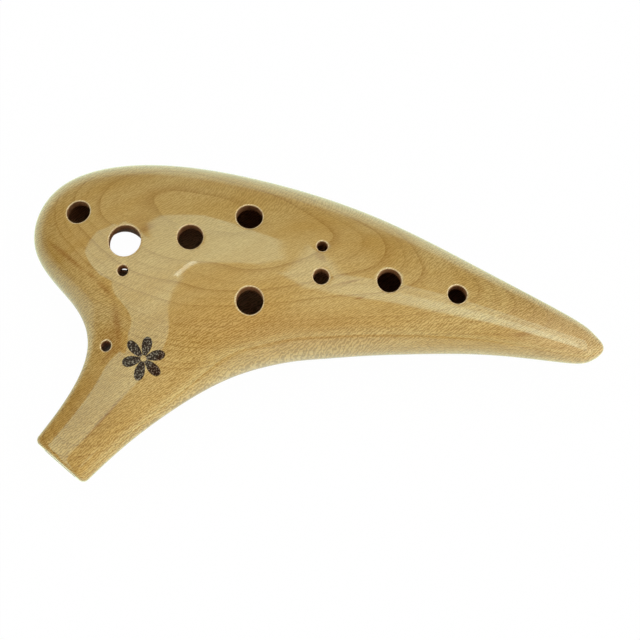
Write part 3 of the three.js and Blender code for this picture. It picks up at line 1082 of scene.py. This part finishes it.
@dataclass(frozen=True)
class ClearLacquer:
    """A brushed and rubbed gloss lacquer, which gives sharp reflections over matt wood.

    It wets the wood, which then has no shine of its own, and brushing leaves it a hair uneven,
    so that the edges of what it mirrors waver a little. A refractive index of 1.5 is typical of
    lacquer, and so is a roughness under 0.05 of a gloss one. Lengths are in millimetres.
    """

    wood_roughness: float = 0.55
    wood_specular: float = 0.0
    coat_roughness: float = 0.045
    coat_ior: float = 1.5
    wave_length: float = 7.0
    wave_height: float = 0.004

    def over(self, tree: bpy.types.NodeTree, shader: bpy.types.Node, seam: Vector) -> None:
        """Lays the lacquer on a shader.

        Args:
            tree: The node tree.
            shader: The shader, with its wood.
            seam: The seam frame's origin in the model's frame, in metres.
        """
        shader.inputs["Roughness"].default_value = self.wood_roughness
        shader.inputs["Specular IOR Level"].default_value = self.wood_specular
        shader.inputs["Coat Weight"].default_value = 1.0
        shader.inputs["Coat Roughness"].default_value = self.coat_roughness
        shader.inputs["Coat IOR"].default_value = self.coat_ior
        inputs = {"Vector": seam_place(tree, seam), "Scale": 1 / self.wave_length, "Detail": 1.0}
        wave = add_node(tree, "TexNoise", {}, inputs).outputs[0]
        inputs = {"Height": wave, "Strength": 1.0, "Distance": self.wave_height * METRES_PER_MM}
        tree.links.new(add_node(tree, "Bump", {}, inputs).outputs[0], shader.inputs["Coat Normal"])


@dataclass(frozen=True)
class LacqueredBeech:
    """Beech under clear gloss lacquer: warm, fine-grained and deep, with crisp highlights."""

    grain: BeechGrain
    lacquer: ClearLacquer = ClearLacquer()
    marks: tuple[BurntRosette | GlueLine, ...] = ()

    def material(self, name: str, seam: Vector) -> bpy.types.Material:
        """Builds the material.

        Args:
            name: The material's name.
            seam: The seam frame's origin in the model's frame, in metres.

        Returns:
            The material.
        """
        made, tree, shader = new_material(name)
        tree.links.new(self.grain.colour(tree, seam), shader.inputs["Base Color"])
        self.lacquer.over(tree, shader, seam)
        for mark in self.marks:
            mark.over(tree, shader, seam)
        return made


@dataclass(frozen=True)
class SealedBeech:
    """Beech sealed with oil, without lacquer: darker and nearly matt."""

    grain: BeechGrain
    roughness: float = 0.6
    specular: float = 0.3

    def material(self, name: str, seam: Vector) -> bpy.types.Material:
        """Builds the material, as the lacquered one.

        Args:
            name: The material's name.
            seam: The seam frame's origin in the model's frame, in metres.

        Returns:
            The material.
        """
        made, tree, shader = new_material(name)
        tree.links.new(self.grain.colour(tree, seam), shader.inputs["Base Color"])
        shader.inputs["Roughness"].default_value = self.roughness
        shader.inputs["Specular IOR Level"].default_value = self.specular
        return made


def new_material(name: str) -> tuple[bpy.types.Material, bpy.types.NodeTree, bpy.types.Node]:
    """Makes a material.

    Args:
        name: The material's name.

    Returns:
        The material, its node tree and its shader.
    """
    made = bpy.data.materials.new(name)
    made.use_nodes = True
    return made, made.node_tree, made.node_tree.nodes["Principled BSDF"]


def make_object(
    name: str, facets: Facets, materials: list[bpy.types.Material], seam: Vector
) -> bpy.types.Object:
    """Makes a Blender object from a closed surface.

    Args:
        name: The object's name.
        facets: The surface, in millimetres in the seam's frame.
        materials: One material for each slot.
        seam: The seam frame's origin in the model's frame, in metres.

    Returns:
        The object, at the model's origin.
    """
    mesh = bpy.data.meshes.new(name)
    points = facets.points * METRES_PER_MM + np.array(seam)
    mesh.from_pydata(points.tolist(), [], facets.faces)
    for material in materials:
        mesh.materials.append(material)
    slots = facets.surface if len(materials) > 1 else [0] * len(facets.faces)
    mesh.polygons.foreach_set("material_index", slots)
    mesh.update()
    made = bpy.data.objects.new(name, mesh)
    bpy.context.scene.collection.objects.link(made)
    return made


def carve(body: bpy.types.Object, cutters: list[bpy.types.Object], crease_deg: float) -> None:
    """Cuts solids out of a body, and keeps its edges crisp and its skin smooth.

    Args:
        body: The object to cut.
        cutters: The solids, which are removed afterwards.
        crease_deg: The angle from which an edge shows as an edge.
    """
    for cutter in cutters:
        cut = body.modifiers.new("cut", "BOOLEAN")
        cut.operation = "DIFFERENCE"
        cut.object = cutter
        cut.solver = "EXACT"
    graph = bpy.context.evaluated_depsgraph_get()
    mesh = bpy.data.meshes.new_from_object(body.evaluated_get(graph))
    body.modifiers.clear()
    old = body.data
    body.data = mesh
    mesh.name = body.name
    bpy.data.meshes.remove(old)
    for cutter in cutters:
        data = cutter.data
        bpy.data.objects.remove(cutter)
        bpy.data.meshes.remove(data)
    mesh.shade_smooth()
    mesh.set_sharp_from_angle(angle=math.radians(crease_deg))


def fit_box(pieces: list[bpy.types.Object], box: tuple[Vector, Vector]) -> None:
    """Shrinks pieces by a hair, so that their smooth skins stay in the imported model's box.

    Args:
        pieces: The pieces, which stay together.
        box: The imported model's box.
    """
    found = []
    for piece in pieces:
        points = np.empty(len(piece.data.vertices) * 3)
        piece.data.vertices.foreach_get("co", points)
        found.append(points.reshape(-1, 3))
    low = np.min([points.min(axis=0) for points in found], axis=0)
    high = np.max([points.max(axis=0) for points in found], axis=0)
    new_low, new_high = np.maximum(low, np.array(box[0])), np.minimum(high, np.array(box[1]))
    for piece, points in zip(pieces, found):
        moved = new_low + (points - low) * (new_high - new_low) / (high - low)
        piece.data.vertices.foreach_set("co", moved.ravel())
        piece.data.update()


# Patches from the large to the small: the wood's own tones and streaks, and two of painted shade.
FRONT_STAINS_AND_SHADE = (
    StainOrShade((-32.0, 24.0, 20.0), 0.0, (42.0, 18.0, 16.0), 0.5, "ba9f62"),
    StainOrShade((78.0, -6.0, 6.0), -12.0, (37.0, 13.0, 14.0), 0.5, "d2b684"),
    # Painted shade: darker over the left flank, where less light falls.
    StainOrShade((-84.0, 14.0, 8.0), -60.0, (32.0, 16.0, 15.0), 0.56, "9c7730"),
    # Painted shade: darker over the neck, where less light falls.
    StainOrShade((-68.5, -27.5, 5.0), 48.0, (22.0, 12.0, 12.0), 0.45, "a47f42"),
    StainOrShade((-10.0, -6.0, 14.0), -4.0, (56.0, 10.0, 14.0), 0.43, "a87c3c"),
    StainOrShade((-76.0, 17.3, 12.5), -42.0, (12.5, 1.2, 8.0), 0.6),
    StainOrShade((-68.4, 10.9, 15.5), -35.0, (2.6, 1.1, 2.5), 0.5),
    StainOrShade((-64.5, 7.0, 15.6), -46.0, (5.2, 1.2, 4.0), 0.55),
    StainOrShade((-60.9, -3.0, 12.0), -84.0, (9.5, 1.9, 8.0), 0.6),
    StainOrShade((-62.5, -8.0, 9.5), -70.0, (7.0, 5.0, 7.0), 0.35),
    StainOrShade((-51.8, 24.5, 19.8), 25.0, (4.6, 1.9, 4.0), 0.5),
    StainOrShade((-53.5, 27.0, 19.0), 0.0, (4.5, 4.0, 5.5), 0.2),
    StainOrShade((0.7, 15.6, 19.8), -45.0, (3.0, 1.7, 3.0), 0.5),
    StainOrShade((-64.3, -30.2, 6.3), 48.5, (14.0, 0.75, 4.0), 0.6),
    StainOrShade((8.8, 8.0, 19.1), 15.0, (6.5, 0.7, 3.0), 0.6),
    StainOrShade((12.3, 3.4, 18.2), 8.0, (2.2, 0.6, 2.0), 0.7),
    StainOrShade((61.7, -6.0, 9.4), 6.0, (4.5, 1.1, 3.0), 0.45),
    StainOrShade((-63.7, -12.0, 7.5), 46.0, (7.0, 1.1, 4.0), 0.5),
)

SKIN_TONES = Tones(light="bd9e5f", dark="b48f4a", ring="8c6026")


@dataclass
class Ocarina:
    """The carved body with its bores, voicing, fipple block and dowels, and their finishes."""

    form: BodyForm = field(default_factory=BodyForm)
    bores_up: tuple[Bore, ...] = (
        Bore("left_little", (-0.4175, 0.3185), 7.3),
        Bore("left_ring", (-0.3335, 0.2135), 9.8),
        Bore("left_sub", (-0.336, 0.1195), 3.3),
        Bore("left_middle", (-0.2205, 0.22), 7.8),
        Bore("left_index", (-0.1195, 0.29), 8.0),
        Bore("right_index", (-0.118, 0.023), 8.1),
        Bore("right_middle", (0.004, 0.0985), 4.8),
        Bore("right_sub", (0.006, 0.196), 3.3),
        Bore("right_ring", (0.121, 0.092), 7.3),
        Bore("right_little", (0.239, 0.0565), 5.8),
    )
    bores_down: tuple[Bore, ...] = (
        Bore("left_thumb", (-0.3495, 0.2705), 13.0),
        Bore("right_thumb", (-0.0545, 0.0295), 9.0),
    )
    strap: Bore = Bore("strap", (-0.3685, -0.092), 3.2)
    skin_steps: int = 300
    skin_sides: int = 84
    chamber_steps: int = 120
    chamber_sides: int = 96
    block_ease_segments: int = 2
    crease_deg: float = 32.0
    front_beech: LacqueredBeech = LacqueredBeech(
        BeechGrain(SKIN_TONES, stains_and_shade=FRONT_STAINS_AND_SHADE), marks=(BurntRosette(), GlueLine())
    )
    back_beech: LacqueredBeech = LacqueredBeech(
        BeechGrain(SKIN_TONES, shift=(31.0, 17.0, 43.0)), marks=(GlueLine(),)
    )
    # Painted highlight: the rims are pale under the lacquer, for the light ring each eased rim
    # catches.
    rim_beech_painted_highlight: LacqueredBeech = LacqueredBeech(BeechGrain(Tones("dfc999", "d8be8c", "c9a978")))
    # The inside is browner and a little darker than the skin, and dull.
    inside_beech: SealedBeech = SealedBeech(BeechGrain(Tones("b38358", "996a45", "7c5233")))
    # The block is planed, which leaves a faint sheen.
    block_beech: SealedBeech = SealedBeech(
        BeechGrain(Tones("b98e5c", "a67a4b", "8a5f36"), grain_turn_deg=49.0), roughness=0.5
    )
    # The dowels are turned and left dry for the glue, so they are pale and dull.
    dowel_beech: SealedBeech = SealedBeech(
        BeechGrain(Tones("cfb184", "c2a172", "a98552")), roughness=0.7
    )

    def __post_init__(self) -> None:
        """Works out the voicing, the dowels and the seam's place in the model."""
        self.voicing = Voicing(self.form)
        self.dowels = Dowels(self.form, self.voicing)
        low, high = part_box("tail_dowel")
        middle = (low + high) / 2
        place = self.dowels.tail_place * METRES_PER_MM
        self.seam = Vector((middle.x - place[0], middle.y - place[1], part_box("back_shell")[1].z))

    def half(self, half: Half, materials: list[bpy.types.Material]) -> bpy.types.Object:
        """Builds one carved half.

        Args:
            half: Which half.
            materials: One for each kind of surface.

        Returns:
            The half, with all its hollows.
        """
        skin = self.form.half(half, self.skin_steps, self.skin_sides)
        tree = skin.tree()
        tool = BoreTool(self.form)
        bores = self.bores_up if half is Half.FRONT else self.bores_down
        cutters = [self.form.chamber(self.chamber_steps, self.chamber_sides)]
        cutters += [tool.cutter(bore, half, tree, through=False) for bore in bores]
        cutters.append(tool.cutter(self.strap, half, tree, through=True))
        cutters += self.dowels.cutters()
        if half is Half.BACK:
            cutters += self.voicing.cutters()
        body = make_object("carved_" + half.name.lower() + "_half", skin, materials, self.seam)
        tools = [make_object("cutter", facets, materials, self.seam) for facets in cutters]
        carve(body, tools, self.crease_deg)
        return body

    def block(self, materials: list[bpy.types.Material]) -> bpy.types.Object:
        """Builds the fipple block, with its edges just broken.

        Args:
            materials: Its one material.

        Returns:
            The block.
        """
        made = make_object("windway_block", self.voicing.block(), materials, self.seam)
        mesh = bmesh.new()
        mesh.from_mesh(made.data)
        bmesh.ops.bevel(
            mesh,
            geom=list(mesh.edges),
            offset=self.voicing.block_ease * METRES_PER_MM,
            segments=self.block_ease_segments,
            affect="EDGES",
            profile=0.5,
        )
        mesh.to_mesh(made.data)
        mesh.free()
        return made

    def build(self, box: tuple[Vector, Vector]) -> list[bpy.types.Object]:
        """Builds and dresses the halves and the block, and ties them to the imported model.

        Args:
            box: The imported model's box.

        Returns:
            The front half, the back half and the block.
        """
        front_skin = self.front_beech.material("lacquered_beech_front", self.seam)
        back_skin = self.back_beech.material("lacquered_beech_back", self.seam)
        # The rims' pale wood is a painted highlight.
        rim = self.rim_beech_painted_highlight.material("lacquered_beech_rim_painted_highlight", self.seam)
        inside = self.inside_beech.material("sealed_beech", self.seam)
        block_wood = self.block_beech.material("planed_beech_block", self.seam)
        front = self.half(Half.FRONT, [front_skin, inside, rim])
        back = self.half(Half.BACK, [back_skin, inside, rim])
        block = self.block([block_wood])
        fit_box([front, back, block], box)
        places = (
            (front, "front_shell", "shell_wood"),
            (back, "back_shell", "shell_wood"),
            (block, "fipple_block", "block_wood"),
        )
        for piece, node, slot in places:
            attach(piece, "root")
            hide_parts(node)
        return [front, back, block]

    def dress_dowels(self) -> list[bpy.types.Object]:
        """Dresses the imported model's own dowels, whose shape is right.

        Returns:
            The neck's dowel and the tail's.
        """
        wood = self.dowel_beech.material("turned_beech_dowel", self.seam)
        dowels = [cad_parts[name] for name in ("neck_dowel", "tail_dowel")]
        for dowel in dowels:
            dowel.data.materials.clear()
            dowel.data.materials.append(wood)
        return dowels


@dataclass(frozen=True)
class SoftPanel:
    """A lit diffusing panel, far over the table.

    Its corners go counter-clockwise. Each is how far to the right and to the back a direction
    goes for each unit up.
    """

    corners: tuple[tuple[float, float], ...]
    radiance: float
    softness: float = 0.04

    def mask(self, tree: bpy.types.NodeTree, slopes: bpy.types.NodeSocket) -> bpy.types.NodeSocket:
        """Gives how far a direction lies inside the panel.

        Args:
            tree: The node tree.
            slopes: The direction over its own height, so that its z is one.

        Returns:
            Zero outside, one inside, with a soft edge.
        """
        nearest = None
        for start, end in zip(self.corners, self.corners[1:] + self.corners[:1]):
            inwards = Vector((start[1] - end[1], end[0] - start[0])).normalized()
            edge = (inwards.x, inwards.y, -inwards.dot(Vector(start)))
            inside = add_node(tree, "VectorMath", DOT, (slopes, edge)).outputs["Value"]
            if nearest is not None:
                inputs = (nearest, inside)
                inside = add_node(tree, "Math", {"operation": "MINIMUM"}, inputs).outputs[0]
            nearest = inside
        inputs = (nearest, -self.softness / 2, self.softness / 2)
        return add_node(tree, "MapRange", EASE, inputs).outputs[0]


@dataclass(frozen=True)
class LampHead:
    """A small bright lamp head over the table, in millimetres in the seam's frame."""

    middle: tuple[float, float, float] = (-168.0, 121.0, 790.0)
    size: tuple[float, float] = (126.0, 19.0)
    turn_deg: float = 63.0
    radiance: float = 5.0
    tint: str = "fbffe7"

    def build(self, seam: Vector) -> None:
        """Makes the lamp, facing down.

        Args:
            seam: The seam frame's origin in the model's frame, in metres.
        """
        lamp = bpy.data.lights.new("lamp_head", "AREA")
        lamp.shape = "RECTANGLE"
        lamp.size, lamp.size_y = self.size[0] * METRES_PER_MM, self.size[1] * METRES_PER_MM
        lamp.energy = AREA_LIGHT_RATE * self.radiance * lamp.size * lamp.size_y
        lamp.color = linear(self.tint)[:3]
        made = bpy.data.objects.new("lamp_head", lamp)
        made.location = seam + Vector(self.middle) * METRES_PER_MM
        made.rotation_euler = (0, 0, math.radians(self.turn_deg))
        bpy.context.scene.collection.objects.link(made)


@dataclass(frozen=True)
class Studio:
    """A white table under soft panels, in a room lit from a window at the player's right."""

    left_high: SoftPanel = SoftPanel(
        (
            (-0.17, 0.05),
            (-0.2, 0.25),
            (-0.33, 0.5),
            (-0.55, 0.72),
            (-0.8, 0.62),
            (-1.12, 0.22),
            (-1.18, -0.33),
            (-0.367, -0.4),
        ),
        2.75,
    )
    left_low: SoftPanel = SoftPanel(
        ((-0.28, -0.2), (-1.15, -0.2), (-1.64, -1.11), (-2.6, -2.2), (-1.155, -2.2)), 2.4
    )
    back: SoftPanel = SoftPanel(
        (
            (-0.26, 0.97),
            (-0.34, 0.75),
            (-0.32, 0.5),
            (-0.25, 0.15),
            (-0.12, 0.19),
            (0.08, 0.27),
            (0.17, 0.42),
            (0.23, 0.85),
            (0.1, 1.08),
            (-0.02, 1.18),
        ),
        2.75,
    )
    right: SoftPanel = SoftPanel(
        (
            (0.13, 0.17),
            (0.22, -0.22),
            (0.42, -0.45),
            (1.35, -0.95),
            (1.45, 0.65),
            (0.6, 0.4),
            (0.3, 0.3),
        ),
        2.6,
    )
    right_core: SoftPanel = SoftPanel(
        ((0.29, 0.05), (0.27, -0.15), (0.36, -0.4), (0.72, -0.44), (0.72, 0.05)), 4.8, 0.18
    )
    middle: SoftPanel = SoftPanel(
        ((0.14, 0.16), (0.17, -0.1), (0.23, 0.05), (0.30, 0.75), (0.30, 0.85)), 2.9, 0.03
    )
    tint_high: str = "d7ffea"
    tint_low: str = "e5ffd1"
    tint_heights: tuple[float, float] = (0.15, 0.5)
    light_share: float = 0.735
    skirts: tuple[tuple[float, float, float], ...] = ((0.0, 0.45, 0.0), (0.25, -1.6, 0.0))
    skirt_heights: tuple[float, float] = (0.45, 0.0)
    window_turn_deg: float = -30.0
    window_glow: float = 2.09
    wall_glow: float = 0.12
    dark_wall: float = 0.01
    ceiling: float = 0.45
    ceiling_starts: tuple[float, float] = (0.5, 0.8)
    least_height: float = 0.02
    table_size: float = 6.0
    table_white: str = "f2f2f2"
    table_roughness: float = 0.9
    table_glow: float = 0.985
    # What the lacquer mirrors of the card is painted: a glow, with painted shade and a painted warm
    # bounce by the wood.
    mirrored_tint: str = "eaffe1"
    painted_glow: tuple[float, float] = (1.75, 0.5)
    painted_shade_reach: float = 0.045
    painted_shade_samples: int = 4
    painted_bounce_shades: tuple[float, float] = (0.45, 0.85)
    painted_bounce_tint: str = "fffdea"
    painted_glow_reach: tuple[float, float] = (0.12, 0.34)

    def build(self, seam: Vector) -> None:
        """Makes the lamp, the world and the table.

        Args:
            seam: The seam frame's origin in the model's frame, in metres.
        """
        LampHead().build(seam)
        self.world()
        self.table()
        bpy.context.scene.view_settings.view_transform = "Standard"

    def room(self, tree: bpy.types.NodeTree, towards: bpy.types.NodeSocket) -> bpy.types.NodeSocket:
        """Gives the radiance of the room without its panels.

        Args:
            tree: The node tree.
            towards: The direction that is looked in.

        Returns:
            The radiance.
        """
        turn = math.radians(self.window_turn_deg)
        window = (math.cos(turn), math.sin(turn), 0.0)
        facing = add_node(tree, "VectorMath", DOT, (towards, window)).outputs["Value"]
        facing = add_node(tree, "Math", MAXIMUM, (facing, 0.0)).outputs[0]
        glow = add_node(tree, "Math", MULTIPLY, (facing, facing)).outputs[0]
        inputs = (glow, self.window_glow, self.wall_glow)
        glow = add_node(tree, "Math", MULTIPLY_ADD, inputs).outputs[0]
        inputs = (glow, facing, self.dark_wall)
        glow = add_node(tree, "Math", MULTIPLY_ADD, inputs).outputs[0]
        height = add_node(tree, "SeparateXYZ", {}, (towards,)).outputs[2]
        low = add_node(tree, "MapRange", EASE, (height, *self.skirt_heights)).outputs[0]
        for skirt in self.skirts:
            facing = add_node(tree, "VectorMath", DOT, (towards, skirt)).outputs["Value"]
            facing = add_node(tree, "Math", MAXIMUM, (facing, 0.0)).outputs[0]
            inputs = (facing, low, glow)
            glow = add_node(tree, "Math", MULTIPLY_ADD, inputs).outputs[0]
        overhead = add_node(tree, "MapRange", EASE, (height, *self.ceiling_starts)).outputs[0]
        return add_node(tree, "Mix", {}, {0: overhead, 2: glow, 3: self.ceiling}).outputs[0]

    def world(self) -> None:
        """Lights the room, white to the camera and with its panels to everything else."""
        world = bpy.data.worlds.new("room_with_panels")
        bpy.context.scene.world = world
        world.use_nodes = True
        tree = world.node_tree
        tree.nodes.clear()
        towards = add_node(tree, "TexCoord").outputs["Generated"]
        height = add_node(tree, "SeparateXYZ", {}, (towards,)).outputs[2]
        above = add_node(tree, "Math", MAXIMUM, (height, self.least_height)).outputs[0]
        inputs = (towards, above)
        slopes = add_node(tree, "VectorMath", {"operation": "DIVIDE"}, inputs).outputs[0]
        glow = self.room(tree, towards)
        panels = (
            self.right,
            self.right_core,
            self.middle,
            self.left_low,
            self.left_high,
            self.back,
        )
        for panel in panels:
            inputs = {0: panel.mask(tree, slopes), 2: glow, 3: panel.radiance}
            glow = add_node(tree, "Mix", {}, inputs).outputs[0]
        high = add_node(tree, "MapRange", EASE, (height, *self.tint_heights)).outputs[0]
        inputs = {0: high, 6: linear(self.tint_low), 7: linear(self.tint_high)}
        tint = add_node(tree, "Mix", MIX_COLOURS, inputs).outputs[2]
        light = add_node(tree, "Math", MULTIPLY, (glow, self.light_share)).outputs[0]
        mirrored, light, white = (
            add_node(tree, "Background", {}, {"Color": colour, "Strength": strength}).outputs[0]
            for colour, strength in ((tint, glow), (WHITE, light), (WHITE, 1.0))
        )
        path = add_node(tree, "LightPath").outputs
        inputs = (path["Is Glossy Ray"], light, mirrored)
        mixed = add_node(tree, "MixShader", {}, inputs).outputs[0]
        inputs = (path["Is Camera Ray"], mixed, white)
        mixed = add_node(tree, "MixShader", {}, inputs).outputs[0]
        add_node(tree, "OutputWorld", {}, {"Surface": mixed})

    def table(self) -> None:
        """Makes the table, a sheet of matt white card.

        Card scatters light evenly, so it keeps only a faint shadow. What the lacquer mirrors of it
        is a painted glow, dimmer further away, with painted shade and a painted warm bounce close
        to the wood.
        """
        made, tree, shader = new_material("matt_white_card")
        shader.inputs["Base Color"].default_value = linear(self.table_white)
        shader.inputs["Roughness"].default_value = self.table_roughness
        white = add_node(tree, "Emission", {}, {"Color": WHITE, "Strength": 1.0}).outputs[0]
        spot = add_node(tree, "TexCoord").outputs["Object"]
        away = add_node(tree, "VectorMath", {"operation": "LENGTH"}, (spot,)).outputs["Value"]
        # Painted glow: the card shines brighter to the lacquer close to the wood.
        inputs = (away, *self.painted_glow_reach, *self.painted_glow)
        glow = add_node(tree, "MapRange", EASE, inputs).outputs[0]
        # Painted shade: the mirrored glow darkens just round the wood.
        settings = {"samples": self.painted_shade_samples}
        inputs = {"Distance": self.painted_shade_reach}
        painted_shade = add_node(tree, "AmbientOcclusion", settings, inputs).outputs["AO"]
        glow = add_node(tree, "Math", MULTIPLY, (glow, painted_shade)).outputs[0]
        # Painted warm bounce: the mirrored glow turns warmer just round the wood.
        far = add_node(tree, "MapRange", EASE, (painted_shade, *self.painted_bounce_shades)).outputs[0]
        inputs = {0: far, 6: linear(self.painted_bounce_tint), 7: linear(self.mirrored_tint)}
        tint = add_node(tree, "Mix", MIX_COLOURS, inputs).outputs[2]
        mirrored = add_node(tree, "Emission", {}, {"Color": tint, "Strength": glow}).outputs[0]
        path = add_node(tree, "LightPath").outputs
        inputs = (path["Is Camera Ray"], self.table_glow)
        share = add_node(tree, "Math", MULTIPLY, inputs).outputs[0]
        inputs = (share, path["Is Transmission Ray"])
        share = add_node(tree, "Math", MAXIMUM, inputs).outputs[0]
        inputs = (share, shader.outputs[0], white)
        mixed = add_node(tree, "MixShader", {}, inputs).outputs[0]
        inputs = (path["Is Glossy Ray"], mixed, mirrored)
        mixed = add_node(tree, "MixShader", {}, inputs).outputs[0]
        tree.links.new(mixed, tree.nodes["Material Output"].inputs["Surface"])
        half = self.table_size / 2
        mesh = bpy.data.meshes.new("table")
        corners = [(-half, -half, 0), (half, -half, 0), (half, half, 0), (-half, half, 0)]
        mesh.from_pydata(corners, [], [(0, 1, 2, 3)])
        mesh.materials.append(made)
        table = bpy.data.objects.new("table", mesh)
        bpy.context.scene.collection.objects.link(table)
        table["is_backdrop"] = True


@dataclass(frozen=True)
class Camera:
    """The photograph's camera, over the table and leaning to the player's side, in millimetres."""

    target: tuple[float, float, float] = (0.383, 0.537, 0.0)
    distance: float = 725.0
    tilt_deg: float = 12.0
    frame_width: float = 196.32
    sensor: float = 36.0
    clip_metres: tuple[float, float] = (0.01, 20.0)

    def build(self, seam: Vector) -> None:
        """Makes the camera.

        Args:
            seam: The seam frame's origin in the model's frame, in metres.
        """
        data = bpy.data.cameras.new("camera")
        data.sensor_width = self.sensor
        data.lens = self.sensor * self.distance / self.frame_width
        made = bpy.data.objects.new("camera", data)
        tilt = math.radians(self.tilt_deg)
        away = Vector((0, -math.sin(tilt), math.cos(tilt)))
        made.location = seam + (Vector(self.target) + away * self.distance) * METRES_PER_MM
        made.rotation_euler = (tilt, 0, 0)
        data.clip_start, data.clip_end = self.clip_metres
        bpy.context.scene.collection.objects.link(made)
        bpy.context.scene.camera = made


def report(piece: bpy.types.Object) -> None:
    """Logs a piece's name and how many faces it has."""
    LOG.info("%s: %d faces", piece.name, len(piece.data.polygons))


def main() -> None:
    """Builds the camera, the ocarina and the studio, and reports each piece."""
    logging.basicConfig(level=logging.INFO)
    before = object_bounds()
    ocarina = Ocarina()
    Camera().build(ocarina.seam)
    for piece in ocarina.build(before) + ocarina.dress_dowels():
        report(piece)
    Studio().build(ocarina.seam)


if __name__ == "__main__":
    main()
